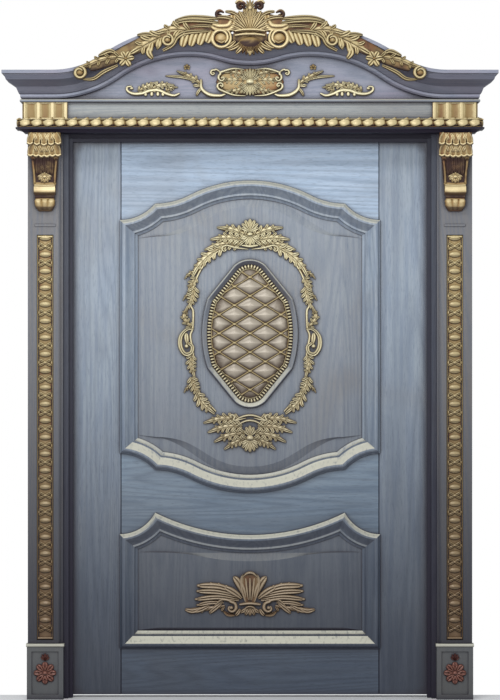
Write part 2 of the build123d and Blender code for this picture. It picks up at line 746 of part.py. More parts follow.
def make_header():
    """Soffit board, bed moulding, rope, frieze, fluted blocks and cap."""
    with BuildPart() as header_soffit:
        board((-header_half, header_half), (0, HEADER_PROUD), (header_z, soffit_top))
    finish(header_soffit.part, "header_soffit")

    with BuildPart() as bed_moulding:
        for height, reach in BED_COVE:
            with BuildSketch(Plane.XY.offset(header_z + height)):
                with Locations((0, depth_y((HEADER_PROUD + reach) / 2))):
                    Rectangle(2 * (header_half + reach), HEADER_PROUD + reach)
        loft(ruled=True)
        outer = header_half + ROPE_REACH
        fillet_z = header_z + BED_COVE[-1][0]
        board((-outer, outer), (0, HEADER_PROUD + ROPE_REACH), (fillet_z, soffit_top))
        board((-header_half, header_half), (0, HEADER_PROUD), (header_z, soffit_top), Mode.SUBTRACT)
    finish(bed_moulding.part, "bed_moulding")

    corner_y = depth_y(HEADER_PROUD)
    section = ((0, 0), (0.7, 0), (0.92, 0.2), (1, 0.5), (0.92, 0.8), (0.7, 1), (0.25, 1.0), (0, 0.85))
    with BuildLine() as route:
        Polyline(
            (-header_half, depth_y(0), soffit_top), (-header_half, corner_y, soffit_top),
            (header_half, corner_y, soffit_top), (header_half, depth_y(0), soffit_top),
        )
    with BuildPart() as rope_moulding:
        foot = (-header_half, depth_y(0), soffit_top)
        with BuildSketch(Plane(origin=foot, x_dir=(-1, 0, 0), z_dir=(0, 1, 0))):
            with BuildLine():
                Polyline(*[(u * ROPE_REACH, v * ROPE_HEIGHT) for u, v in section], close=True)
            make_face()
        sweep(path=route.wire(), transition=Transition.RIGHT)
        groove_z = soffit_top + ROPE_HEIGHT / 2
        reach = ROPE_REACH + 1
        front_count = int(2 * header_half / ROPE_PITCH)
        side_count = int(HEADER_PROUD / ROPE_PITCH)
        spots = []
        for index in range(front_count + 1):
            x = (index / front_count - 0.5) * 2 * header_half
            spots.append(Location((x, corner_y - reach, groove_z), (0, ROPE_SLANT, 45)))
        for side in (-1, 1):
            for index in range(side_count):
                y = corner_y + (index + 0.7) * ROPE_PITCH
                spot = (side * (header_half + reach), y, groove_z)
                spots.append(Location(spot, (ROPE_SLANT, 0, 45)))
        with Locations(*spots):
            Box(ROPE_GROOVE, ROPE_GROOVE, ROPE_HEIGHT * 2, mode=Mode.SUBTRACT)
    finish(rope_moulding.part, "rope_moulding")

    with BuildPart() as frieze_box:
        board((-header_half, header_half), (0, HEADER_PROUD), (soffit_top, frieze_top))
        inner = header_half - BOARD_THICKNESS
        inside = (0, HEADER_PROUD - BOARD_THICKNESS)
        board((-inner, inner), inside, (soffit_top, frieze_top), Mode.SUBTRACT)
    finish(frieze_box.part, "frieze_box")

    with BuildPart() as frieze_block:
        front = (HEADER_PROUD, HEADER_PROUD + BLOCK_THICKNESS)
        board((block_outer - BLOCK_WIDTH, block_outer), front, (rope_top, frieze_top))
        board((header_half, block_outer), (0, HEADER_PROUD), (rope_top, frieze_top))
        flute_pitch = (BLOCK_WIDTH - FLUTE_FILLET / 2) / FLUTE_COUNT
        height = frieze_top - rope_top
        with BuildSketch(face_plane(front[1] - FLUTE_DEPTH)):
            for index in range(FLUTE_COUNT):
                x = block_outer - FLUTE_FILLET / 4 - (index + 0.5) * flute_pitch
                with Locations((x, rope_top + height / 2)):
                    RectangleRounded(FLUTE_WIDTH, height - 12, 12)
        extrude(amount=FLUTE_DEPTH, mode=Mode.SUBTRACT)
    finish_pair(frieze_block.part, "frieze_block")

    with BuildPart() as frieze_cap:
        reach = BLOCK_THICKNESS + CAP_LAP
        outer = header_half + reach
        board((-outer, outer), (0, HEADER_PROUD + reach), (frieze_top, pediment_z))
        front_edges = frieze_cap.edges().filter_by(Axis.X).group_by(Axis.Y)[0]
        end_edges = frieze_cap.edges().filter_by(Axis.Y)
        chamfer(front_edges + end_edges, CAP_HEIGHT / 4)
    finish(frieze_cap.part, "frieze_cap")


# The pediment's line: level at the ends, an ogee up to each hump and another down to the middle
shoulder = (header_half - PEDIMENT_SHOULDER, pediment_z)
hump = (PEDIMENT_HUMP, pediment_z + PEDIMENT_RISE)
dip = (0, hump[1] - PEDIMENT_DIP)


def between(start, end, share):
    """The point at this share of the way between two points."""
    return (start[0] + share * (end[0] - start[0]), start[1] + share * (end[1] - start[1]))


def pediment_line(side, lift, end_x):
    """Draws one side of the pediment's line, lifted by this much, out to end_x."""
    raised = [(side * x, z + lift) for x, z in (dip, hump, shoulder)]
    inner_turn = between(raised[1], raised[0], DIP_SHARE)
    outer_turn = between(raised[2], raised[1], SHOULDER_SHARE)
    TangentArc(raised[0], inner_turn, tangent=(side, 0))
    TangentArc(raised[1], inner_turn, tangent=(-side, 0))
    TangentArc(raised[1], outer_turn, tangent=(side, 0))
    TangentArc(raised[2], outer_turn, tangent=(-side, 0))
    Line(raised[2], (side * end_x, raised[2][1]))


def arc_height(level, end, x):
    """Height at x of the arc that leaves one point level and ends at another."""
    run, rise = end[0] - level[0], end[1] - level[1]
    radius = (run * run + rise * rise) / (2 * rise)
    drop = abs(radius) - sqrt(radius * radius - (x - level[0]) ** 2)
    return level[1] + (drop if rise > 0 else -drop)


def pediment_height(x):
    """Height of the pediment's line at x."""
    x = abs(x)
    inner_turn, outer_turn = between(hump, dip, DIP_SHARE), between(shoulder, hump, SHOULDER_SHARE)
    if x < inner_turn[0]:
        return arc_height(dip, inner_turn, x)
    if x < hump[0]:
        return arc_height(hump, inner_turn, x)
    if x < outer_turn[0]:
        return arc_height(hump, outer_turn, x)
    if x < shoulder[0]:
        return arc_height(shoulder, outer_turn, x)
    return shoulder[1]


# The cornice's section in runs of reach and height, as shares: fillet and bead, cyma, corona
cornice_runs = (
    ((0, 0), (0.1, 0), (0.18, 0.03), (0.21, 0.09)),
    ((0.21, 0.17), (0.27, 0.2), (0.31, 0.27), (0.4, 0.44), (0.6, 0.55), (0.82, 0.67), (0.9, 0.84)),
    ((0.9, 0.88), (1, 0.88)),
)


def under_pediment(height, proud):
    """The area below the cornice's line raised square to itself by this much."""
    end_x, foot_z = header_half + 2 * CORNICE_REACH, pediment_z - FRIEZE_HEIGHT
    with BuildSketch(face_plane(proud)) as area:
        with BuildLine():
            for side in (1, -1):
                pediment_line(side, 0, end_x)
                Line((side * end_x, pediment_z), (side * end_x, foot_z))
            Line((-end_x, foot_z), (end_x, foot_z))
        make_face()
        if height:
            offset(amount=height, kind=Kind.INTERSECTION)
    return area.sketch


def make_pediment():
    """The tympanum board and the cornice with its mitred returns."""
    top_lift = CORNICE_HEIGHT - TYMPANUM_DROP
    with BuildPart() as tympanum_board:
        with BuildSketch(face_plane(HEADER_PROUD - TYMPANUM_THICKNESS)):
            with BuildLine():
                for side in (1, -1):
                    pediment_line(side, top_lift, header_half)
                    end = side * header_half
                    Line((end, pediment_z + top_lift), (end, pediment_z))
                Line((-header_half, pediment_z), (header_half, pediment_z))
            make_face()
        extrude(amount=TYMPANUM_THICKNESS)
    finish(tympanum_board.part, "tympanum_board")

    corner = (header_half, depth_y(HEADER_PROUD), 0)
    mitre = Plane(origin=corner, x_dir=(1, -1, 0), z_dir=(1, 1, 0))
    section = [spot for run in cornice_runs for spot in run] + [(1, 1), (0, 1)]
    with BuildPart() as cornice_return:
        foot = Plane(origin=(header_half, depth_y(0), pediment_z), x_dir=(1, 0, 0), z_dir=(0, -1, 0))
        with BuildSketch(foot):
            with BuildLine():
                Polyline(*[(u * CORNICE_REACH, v * CORNICE_HEIGHT) for u, v in section], close=True)
            make_face()
        extrude(amount=corona_proud + 1)
        split(bisect_by=mitre, keep=Keep.TOP)
    end_x = corner[0] + CORNICE_REACH + 1
    with BuildPart() as cornice:
        extrude(under_pediment(CORNICE_HEIGHT, HEADER_PROUD), amount=CORNICE_REACH)
        top_z = hump[1] + CORNICE_HEIGHT + 1
        board((-end_x, end_x), (HEADER_PROUD, corona_proud), (pediment_z, top_z), Mode.INTERSECT)
        for run in cornice_runs:
            areas = [
                under_pediment(v * CORNICE_HEIGHT, HEADER_PROUD + u * CORNICE_REACH) for u, v in run
            ]
            loft(sections=areas, ruled=True, mode=Mode.SUBTRACT)
        split(bisect_by=mitre, keep=Keep.BOTTOM)
        split(bisect_by=Plane.YZ, keep=Keep.TOP)
        add(cornice_return.part)
        mirror(about=Plane.YZ)
    finish(cornice.part, "cornice")


def medallion_outline():
    """The ring's outer line: narrow ends with shoulders, full sides."""
    for side in (1, -1):
        for way in (1, -1):
            end = (0, way * RING_HALF_HEIGHT)
            neck, turn = [
                (side * across * RING_HALF_WIDTH, way * along * RING_HALF_HEIGHT)
                for across, along in (RING_NECK, RING_SHOULDER)
            ]
            TangentArc(end, neck, tangent=(side, 0))
            Line(neck, turn)
            TangentArc((side * RING_HALF_WIDTH, 0), turn, tangent=(0, way))


def medallion_face(inset, rise):
    """The face inside the ring's outer line drawn in by this much, at a height over the leaf."""
    with BuildSketch() as shape:
        with BuildLine():
            medallion_outline()
        make_face()
        if inset:
            offset(amount=-inset, kind=Kind.INTERSECTION)
    return face_plane(leaf_front + rise) * Pos(0, medallion_z) * shape.sketch


def make_medallion():
    """Ring, ribbed border, cushioned ground and lattice of the medallion."""
    ground = face_plane(leaf_front)
    border, inner = medallion_face(RING_WIDTH, 0), medallion_face(RING_WIDTH + BORDER_WIDTH, 0)
    eased = RING_RISE - RING_EASE

    with BuildPart() as medallion_ring:
        extrude(medallion_face(0, 0), amount=eased)
        outside = [medallion_face(0, eased), medallion_face(RING_EASE, RING_RISE)]
        loft(sections=outside, ruled=True)
        extrude(border, amount=eased, mode=Mode.SUBTRACT)
        inside = [medallion_face(RING_WIDTH, eased), medallion_face(RING_WIDTH - RING_EASE, RING_RISE)]
        loft(sections=inside, ruled=True, mode=Mode.SUBTRACT)
    finish(medallion_ring.part, "medallion_ring")

    with BuildPart() as medallion_border:
        extrude(border, amount=BORDER_RISE * 0.6)
        line = offset(border, amount=-BORDER_WIDTH / 2, mode=Mode.PRIVATE).wire()
        ribs = int(line.length / RIB_PITCH)
        spots = []
        for index in range(ribs):
            point = line.position_at((index + 0.5) / ribs)
            way = line.tangent_at((index + 0.5) / ribs)
            spots.append(
                Plane(origin=point + (0, -BORDER_RISE / 2, 0), x_dir=way, z_dir=(0, -1, 0)).location
            )
        with Locations(*spots):
            Box(RIB_WIDTH, BORDER_WIDTH - 4, BORDER_RISE)
        extrude(border, amount=BORDER_RISE, mode=Mode.INTERSECT)
        extrude(inner, amount=BORDER_RISE, mode=Mode.SUBTRACT)
    finish(medallion_border.part, "medallion_border")

    slope = degrees(atan2(LATTICE_STEP, LATTICE_PITCH))
    rows = int(RING_HALF_HEIGHT / LATTICE_STEP) + 2
    bar_ground = ground.offset(GROUND_RISE)
    with BuildPart() as medallion_lattice:
        with BuildSketch(bar_ground) as bars:
            for index in range(-rows, rows + 1):
                for side in (-1, 1):
                    crossing = (index * LATTICE_PITCH, medallion_z, 0)
                    with Locations(Location(crossing, (0, 0, side * slope))):
                        Rectangle(3 * RING_HALF_HEIGHT, LATTICE_BAR)
        extrude(bars.sketch, amount=LATTICE_RISE)
        extrude(inner, amount=GROUND_RISE + LATTICE_RISE, mode=Mode.INTERSECT)
    finish(medallion_lattice.part, "medallion_lattice")

    with BuildPart() as medallion_ground:
        extrude(inner, amount=GROUND_RISE)
        half_width = LATTICE_PITCH / 2 - PILLOW_MARGIN * LATTICE_PITCH / LATTICE_STEP
        half_height = LATTICE_STEP / 2 - PILLOW_MARGIN
        with BuildSketch(bar_ground) as pillows:
            for column in range(-2, 3):
                for row in range(-rows, rows + 1):
                    x, z = column * LATTICE_PITCH / 2, row * LATTICE_STEP / 2
                    across = x / (RING_HALF_WIDTH - PILLOW_SIDE_CLEAR)
                    along = z / (RING_HALF_HEIGHT - PILLOW_END_CLEAR)
                    if (column + row) % 2 and hypot(across, along) < 1:
                        with Locations((x, medallion_z + z)):
                            Polygon(
                                (half_width, 0), (0, half_height), (-half_width, 0), (0, -half_height)
                            )
        extrude(pillows.sketch, amount=PILLOW_RISE, taper=45)
        extrude(inner, amount=GROUND_RISE + PILLOW_RISE, mode=Mode.INTERSECT)
    finish(medallion_ground.part, "medallion_ground")


def make_wreath():
    """The wreath of leafy sprigs round the medallion, with a spray at its top and foot."""
    ground = face_plane(leaf_front) * Pos(0, upper_middle)
    sweep_turn = radians(WREATH_SWEEP)
    turns = [sweep_turn * index / WREATH_STATIONS for index in range(WREATH_STATIONS + 1)]
    spine = [(WREATH_HALF_WIDTH * cos(turn), WREATH_HALF_HEIGHT * sin(turn)) for turn in turns]
    carving = stem(ground, spine, WREATH_STEM, WREATH_RISE * 0.8)
    for turn, (x, z) in list(zip(turns, spine))[1:]:
        way = degrees(atan2(WREATH_HALF_HEIGHT * cos(turn), -WREATH_HALF_WIDTH * sin(turn)))
        for side, share in ((1, 0.9), (-1, 0.8)):
            size = (WREATH_LEAF * share, WREATH_LEAF_WIDTH, WREATH_RISE)
            carving.append(lobe(ground, x, z, way + side * WREATH_LEAF_TURN, *size))
    with BuildPart() as quarter:
        add(carving)
    with BuildPart() as wreath_carving:
        add(quarter.part)
        mirror(about=Plane.XY.offset(upper_middle))
        mirror(about=Plane.YZ)
        sprays = []
        for way in (1, -1):
            top = way * (WREATH_HALF_HEIGHT - 6)
            for side in (-1, 1):
                route = [(side * spine[-1][0], way * spine[-1][1]), (side * 60, top), (0, top)]
                sprays += stem(ground, route, WREATH_STEM, WREATH_RISE * 0.8)
            for turn in (-78, -40, 0, 40, 78):
                size = (84, 34, WREATH_RISE * 1.2)
                sprays.append(lobe(ground, 0, top - way * 20, way * (90 + turn), *size))
            sprays.append(knob(ground, 0, top - way * 12, 22, WREATH_RISE * 1.4))
        add(sprays)
    finish(wreath_carving.part, "wreath_carving")


def make_lower_ornament():
    """The shell and acanthus spray on the lower panel's field."""
    centre_z = lower_bottom + ORNAMENT_HEIGHT
    ground = face_plane(leaf_front)
    right = []
    for turn, length in ((62, 78), (35, 86)):
        right.append(lobe(ground, 8, centre_z - 10, turn, length, 30, ORNAMENT_RISE * 0.8))
    route = [(12, centre_z - 14), (60, centre_z - 4), (120, centre_z + 12), (165, centre_z - 2)]
    right += stem(ground, route, 12, ORNAMENT_RISE * 0.7)
    for x, z, turn, length in (
        (60, -4, 70, 52), (100, 6, 52, 62), (130, 8, 22, 74), (70, -6, -38, 60), (115, 4, -26, 74),
        (150, 0, -20, 92),
    ):
        right.append(lobe(ground, x, centre_z + z, turn, length, 24, ORNAMENT_RISE * 0.7))
    right += scroll(ground, 46, centre_z - 29, 18, 80, -250, 8, ORNAMENT_RISE * 0.6)
    middle = [
        lobe(ground, 0, centre_z - 10, 90, 100, 40, ORNAMENT_RISE),
        knob(ground, 0, centre_z - 18, 24, ORNAMENT_RISE * 1.1, 0.55),
        lobe(ground, 0, centre_z - 24, -90, 46, 36, ORNAMENT_RISE * 0.8),
    ]
    with BuildPart() as lower_panel_ornament:
        add(middle + both_sides(right))
    finish(lower_panel_ornament.part, "lower_panel_ornament")


def make_crest():
    """The shell on the pediment's middle and the sprays along its humps."""
    ground = face_plane(corona_proud)
    middle_top = dip[1] + CORNICE_HEIGHT
    right = []
    for turn, length in ((68, 104), (46, 96), (24, 82)):
        right.append(lobe(ground, 6, middle_top - 4, turn, length, 30, CREST_RISE * 0.8))
    right += scroll(ground, 112, middle_top + 2, 28, 200, 300, 12, CREST_RISE * 0.8)
    route = [(10, middle_top - 8), (58, middle_top - 8), (90, middle_top - 16)]
    right += stem(ground, route, 16, CREST_RISE * 0.6)
    for shift, turn, length in ((20, -76, 62), (52, -54, 52)):
        right.append(lobe(ground, shift, middle_top - 10, turn, length, 28, CREST_RISE * 0.7))
    middle = [
        lobe(ground, 0, middle_top - 6, 90, 144, 34, CREST_RISE),
        knob(ground, 0, middle_top + 10, 30, CREST_RISE, 0.8),
        lobe(ground, 0, middle_top - 8, -90, 80, 34, CREST_RISE * 0.8),
    ]
    with BuildPart() as crest_shell:
        add(middle + both_sides(right))
    finish(crest_shell.part, "crest_shell")

    def top_edge(x):
        """A point on the cornice's top edge, a little below it."""
        return x, pediment_height(x) + CORNICE_HEIGHT - 12

    route = [top_edge(x) for x in (150, 205, 270, 340, 420, 500, 560)]
    carving = stem(ground, route, 18, CREST_RISE * 0.7)
    for x, turn, length, width in (
        (165, 118, 58, 34), (215, 62, 62, 36), (265, 30, 84, 34), (330, 10, 80, 30), (410, -12, 84, 28),
        (490, -18, 84, 26), (185, -110, 66, 30), (245, -72, 70, 30), (310, -58, 70, 28),
        (385, -62, 64, 26), (460, -58, 58, 24),
    ):
        start = top_edge(x)
        carving.append(lobe(ground, start[0], start[1], turn, length, width, CREST_RISE * 0.85))
    end_x = 590
    carving += scroll(ground, end_x, top_edge(end_x)[1] - 8, 26, 150, -280, 12, CREST_RISE * 0.7)
    with BuildPart() as crest_spray:
        add(carving)
    finish_pair(crest_spray.part, "crest_spray")


def make_tympanum_carving():
    """The cartouche and the two sprigs on the pediment's board."""
    ground = face_plane(HEADER_PROUD)
    low = pediment_z + 12
    right = scroll(ground, 62, low + 30, 26, 200, -280, 11, TYMPANUM_RISE * 0.8)
    route = [(84, low + 12), (140, low + 8), (196, low + 22), (238, low + 60)]
    right += stem(ground, route, 13, TYMPANUM_RISE * 0.6)
    for x, z, turn, length in (
        (16, 34, 58, 66), (34, 20, 24, 60), (120, 8, 62, 50), (170, 12, 74, 62), (205, 30, 8, 64),
        (226, 52, 78, 62), (222, 46, 148, 52),
    ):
        right.append(lobe(ground, x, low + z, turn, length, 24, TYMPANUM_RISE * 0.8))
    middle = [
        lobe(ground, 0, low + 10, 90, 94, 40, TYMPANUM_RISE),
        knob(ground, 0, low + 34, 24, TYMPANUM_RISE, 0.9),
    ]
    with BuildPart() as tympanum_cartouche:
        add(middle + both_sides(right))
    finish(tympanum_cartouche.part, "tympanum_cartouche")

    route = [(270, low + 4), (330, low - 2), (390, low + 4), (436, low + 10)]
    carving = stem(ground, route, 10, TYMPANUM_RISE * 0.5)
    for x, turn, length in ((300, 60, 40), (335, 74, 48), (365, 40, 46), (395, 62, 38), (405, 14, 40)):
        carving.append(lobe(ground, x, low, turn, length, 20, TYMPANUM_RISE * 0.6))
    carving += scroll(ground, 286, low + 20, 18, 260, -260, 8, TYMPANUM_RISE * 0.5)
    with BuildPart() as tympanum_sprig:
        add(carving)
    finish_pair(tympanum_sprig.part, "tympanum_sprig")


def main():
    """Makes every piece and writes one file for each."""
    os.makedirs("parts", exist_ok=True)
    make_jambs()
    make_stiles()
    make_rails()
    make_panels()
    make_mouldings()
    make_hinges()
    make_pilasters()
    make_plinths()
    make_corbels()
    make_header()
    make_pediment()
    make_medallion()
    make_wreath()
    make_lower_ornament()
    make_crest()
    make_tympanum_carving()


main()
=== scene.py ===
"""Carved and gilded panelled door with its frame: finishes, carvings, light and camera."""

import logging
import math
from dataclasses import dataclass
from enum import Enum
from typing import Callable, ClassVar, Sequence

import bpy
import numpy as np
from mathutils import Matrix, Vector


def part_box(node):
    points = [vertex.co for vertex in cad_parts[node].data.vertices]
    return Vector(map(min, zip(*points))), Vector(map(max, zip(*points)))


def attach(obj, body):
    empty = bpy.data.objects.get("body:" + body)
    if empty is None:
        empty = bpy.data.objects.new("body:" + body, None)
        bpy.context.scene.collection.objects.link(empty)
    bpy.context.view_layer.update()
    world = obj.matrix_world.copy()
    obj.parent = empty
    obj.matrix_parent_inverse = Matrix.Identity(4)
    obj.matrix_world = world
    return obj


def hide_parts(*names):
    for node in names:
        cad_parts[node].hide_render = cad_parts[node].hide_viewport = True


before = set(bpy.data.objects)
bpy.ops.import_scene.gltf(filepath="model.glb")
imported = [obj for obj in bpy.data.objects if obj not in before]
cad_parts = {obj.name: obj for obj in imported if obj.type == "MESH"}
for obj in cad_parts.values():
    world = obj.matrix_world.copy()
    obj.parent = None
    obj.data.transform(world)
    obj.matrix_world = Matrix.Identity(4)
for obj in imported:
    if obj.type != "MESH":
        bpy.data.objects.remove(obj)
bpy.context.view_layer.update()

log = logging.getLogger("door")

MM = 0.001
SUNK = -0.3
SMOOTH_BELOW = math.radians(55)
Point = tuple[float, float]
Line = Sequence[Point]
Size = tuple[float, ...]
Colour = tuple[float, float, float]
Socket = bpy.types.NodeSocket
Shades = dict[str, float | Colour]


class Grain(Enum):
    """The way that a board's grain runs."""

    UPRIGHT = (1.0, 1.0, 0.055)
    LEVEL = (0.055, 1.0, 1.0)


class Section(Enum):
    """Cross-sections of a carved stroke."""

    ROUND = "round"
    VEINED = "veined"
    GOUGED = "gouged"
    RIDGED = "ridged"
    HOLLOW = "hollow"


def put(name: str, data: bpy.types.ID) -> bpy.types.Object:
    """A new object of the data, put into the scene."""
    piece = bpy.data.objects.new(name, data)
    bpy.context.scene.collection.objects.link(piece)
    return piece


def linear(colour: Colour) -> tuple[float, float, float, float]:
    """A display colour as the scene-linear colour that a shader socket takes."""
    return (*(c / 12.92 if c <= 0.04045 else ((c + 0.055) / 1.055) ** 2.4 for c in colour), 1.0)


class Graph:
    """A material's node tree, built node by node, with the colour that its coats have reached."""

    def __init__(self, name: str, ground: Colour = (1.0, 1.0, 1.0)) -> None:
        """Starts an empty material.

        Args:
            name: The material's name.
            ground: The colour under its coats.
        """
        self.material = bpy.data.materials.new(name)
        self.material.use_nodes = True
        self.tree = self.material.node_tree
        self.tree.nodes.clear()
        self.out = self.tree.nodes.new("ShaderNodeOutputMaterial")
        self.tone = linear(ground)
        self.spot = self.add("ShaderNodeTexCoord").outputs["Object"]

    def add(self, kind: str, sockets: dict | None = None, **settings) -> bpy.types.Node:
        """Adds a node.

        Args:
            kind: The node's type.
            sockets: Input name or index to a value, or to the output that feeds it.
            **settings: The node's own properties.

        Returns:
            The node.
        """
        node = self.tree.nodes.new(kind)
        for key, value in settings.items():
            setattr(node, key, value)
        for key, value in (sockets or {}).items():
            if isinstance(value, Socket):
                self.tree.links.new(value, node.inputs[key])
            else:
                node.inputs[key].default_value = value
        return node

    def math(self, operation: str, a, b=0.0, c=0.0) -> Socket:
        """The result of one arithmetic step."""
        return self.add("ShaderNodeMath", {0: a, 1: b, 2: c}, operation=operation).outputs[0]

    def times(self, a, b) -> Socket:
        """The product of two values."""
        return self.math("MULTIPLY", a, b)

    def span(self, value, low: float, high: float, start: float = 0.0, end: float = 1.0) -> Socket:
        """A number that goes smoothly from start to end while the value goes from low to high."""
        sockets = {"Value": value, "From Min": low, "From Max": high, "To Min": start, "To Max": end}
        return self.add("ShaderNodeMapRange", sockets, interpolation_type="SMOOTHSTEP").outputs[0]

    def shelter(self, distance: float) -> Socket:
        """How open a point is, from 0 to 1, to what stands within this distance."""
        return self.add("ShaderNodeAmbientOcclusion", {"Distance": distance}, samples=8).outputs["AO"]

    def upwards(self, vector: Socket) -> Socket:
        """The height of a point, or how far a direction faces up."""
        return self.add("ShaderNodeSeparateXYZ", {0: vector}).outputs[2]

    def facing(self) -> Socket:
        """How far the surface faces up, from -1 to 1."""
        return self.upwards(self.add("ShaderNodeNewGeometry").outputs["Normal"])

    def mix(self, share, a, b, blend: str = "MIX") -> Socket:
        """Two colours blended by a share."""
        return self.add("ShaderNodeMix", {0: share, 6: a, 7: b}, data_type="RGBA", blend_type=blend).outputs[2]

    def coat(self, share, colour: Colour, blend: str = "MIX") -> None:
        """Lays a colour over the tone where the share says so."""
        self.tone = self.mix(share, self.tone, linear(colour), blend)

    def noise(self, vector, scale: float, detail: float = 2.0, warp: float = 0.0) -> Socket:
        """Noise of that scale at the vector, from 0 to 1."""
        sockets = {"Vector": vector, "Scale": scale, "Detail": detail, "Distortion": warp}
        return self.add("ShaderNodeTexNoise", sockets).outputs["Fac"]

    def place(self, scale: Sequence[float], shift: Sequence[float] = (0, 0, 0)) -> Socket:
        """The place on the object, stretched and shifted."""
        sockets = {"Vector": self.spot, "Scale": tuple(scale), "Location": tuple(shift)}
        return self.add("ShaderNodeMapping", sockets).outputs[0]

    def bump(self, height: Socket, strength: float, distance: float, **sockets) -> Socket:
        """The surface's direction with fine relief from the height."""
        sockets |= {"Height": height, "Strength": strength, "Distance": distance}
        return self.add("ShaderNodeBump", sockets).outputs[0]

    def surface(self, **sockets) -> bpy.types.Material:
        """Ends the material with a surface shader of the tone.

        Args:
            **sockets: Input names of the shader, with _ for each space.

        Returns:
            The material.
        """
        named = {key.replace("_", " "): value for key, value in sockets.items()}
        shader = self.add("ShaderNodeBsdfPrincipled", {"Base Color": self.tone, **named})
        self.tree.links.new(shader.outputs[0], self.out.inputs["Surface"])
        return self.material


@dataclass(frozen=True)
class OakFinish:
    """Blue-grey oak with painted light: shade darkening it towards its foot, in its corners and where it faces
    down, and a pale lime highlight where it faces up.
    """

    name: str
    grain: Grain
    seed: float = 0.0
    # even share of pale lime all over; on the plinth caps it is the painted highlight along their top edge
    limed: float = 0.0
    # share of painted highlight, pale lime where the surface faces up
    top_highlight: float = 1.0
    # depth: an even share of painted shade all over the board, which also cuts its sheen
    depth: float = 0.0
    tint: float = 0.0
    # share of painted shade where the surface faces down
    under: float = 0.45
    pale: Colour = (0.655, 0.70, 0.745)
    body: Colour = (0.565, 0.62, 0.69)
    dark: Colour = (0.40, 0.455, 0.53)
    umber: Colour = (0.52, 0.505, 0.495)
    # pale lime, for the painted highlight on what faces up and for the even lime share
    lime_and_highlight: Colour = (0.83, 0.82, 0.75)
    # colour of the painted shade that is multiplied in towards the foot
    foot_shade: Colour = (0.39, 0.40, 0.44)
    # dark colour of the painted shade: under faces, corners and the even share set by depth
    shade_colour: Colour = (0.15, 0.13, 0.18)
    ring_lines: float = 150.0
    # heights in metres between which the painted foot shade grows to full
    foot_shade_from: float = 1.85
    foot_shade_to: float = 0.15
    corner: float = 0.045
    edge: float = 0.0012

    def build(self) -> bpy.types.Material:
        """The finish as a node material.

        Returns:
            The material.
        """
        g = Graph(self.name, self.body)
        along = g.place(self.grain.value, (self.seed, 1.7 * self.seed, 0.6 * self.seed))
        rings = g.math("SINE", g.times(g.noise(along, 5.5, 1.0, 0.5), self.ring_lines))
        late = g.math("POWER", g.math("MULTIPLY_ADD", rings, 0.5, 0.5), 2.0)
        streaks = g.noise(along, 95.0, 3.0)
        pores = g.span(g.noise(along, 620.0, 2.0), 0.56, 0.66)
        drift = g.noise(g.spot, 2.6, 3.0, 0.8)
        g.coat(g.span(streaks, 0.3, 0.7), self.pale)
        g.coat(g.span(drift, 0.42, 0.8, self.tint, min(1.0, self.tint + 0.4)), self.umber)
        g.coat(g.times(late, 0.30), self.dark)
        g.coat(g.times(pores, 0.4), self.dark)
        # painted shade: the colour is multiplied darker towards the foot, by height with a little drift
        height = g.math("MULTIPLY_ADD", drift, 0.3, g.upwards(g.spot))
        g.coat(g.span(height, self.foot_shade_from, self.foot_shade_to), self.foot_shade, "MULTIPLY")
        # painted highlight: pale lime where the surface faces up, broken by the streaks, together with the even
        # lime share
        facing = g.facing()
        top_highlight_share = g.times(g.span(facing, 0.1, 0.5, 0.0, self.top_highlight), g.span(streaks, 0.05, 0.5))
        g.coat(g.math("MAXIMUM", g.times(top_highlight_share, 0.9), self.limed), self.lime_and_highlight)
        # painted shade: the dark colour laid where the surface faces down
        g.coat(g.span(facing, 0.05, -0.5, 0.0, self.under), self.shade_colour)
        # painted shade: the dark colour laid in corners and recesses, where occlusion finds them
        corner_shade = g.span(g.math("MULTIPLY_ADD", drift, 0.12, g.shelter(self.corner)), 0.98, 0.5)
        # painted shade: an even share of the dark colour all over the board, set by depth
        g.coat(g.math("MAXIMUM", g.times(corner_shade, 0.92), self.depth), self.shade_colour)
        relief = g.math("SUBTRACT", g.times(streaks, 0.5), g.times(pores, 0.6))
        relief = g.math("SUBTRACT", relief, g.times(late, 0.25))
        edge = g.add("ShaderNodeBevel", {"Radius": self.edge}, samples=4).outputs[0]
        normal = g.bump(relief, 0.3, 0.0005, Normal=edge)
        # the sheen is cut by the same share as the painted shade
        sheen = 0.5 * (1 - 0.75 * self.depth)
        return g.surface(Roughness=g.span(streaks, 0.2, 0.8, 0.38, 0.56), Normal=normal, Specular_IOR_Level=sheen)


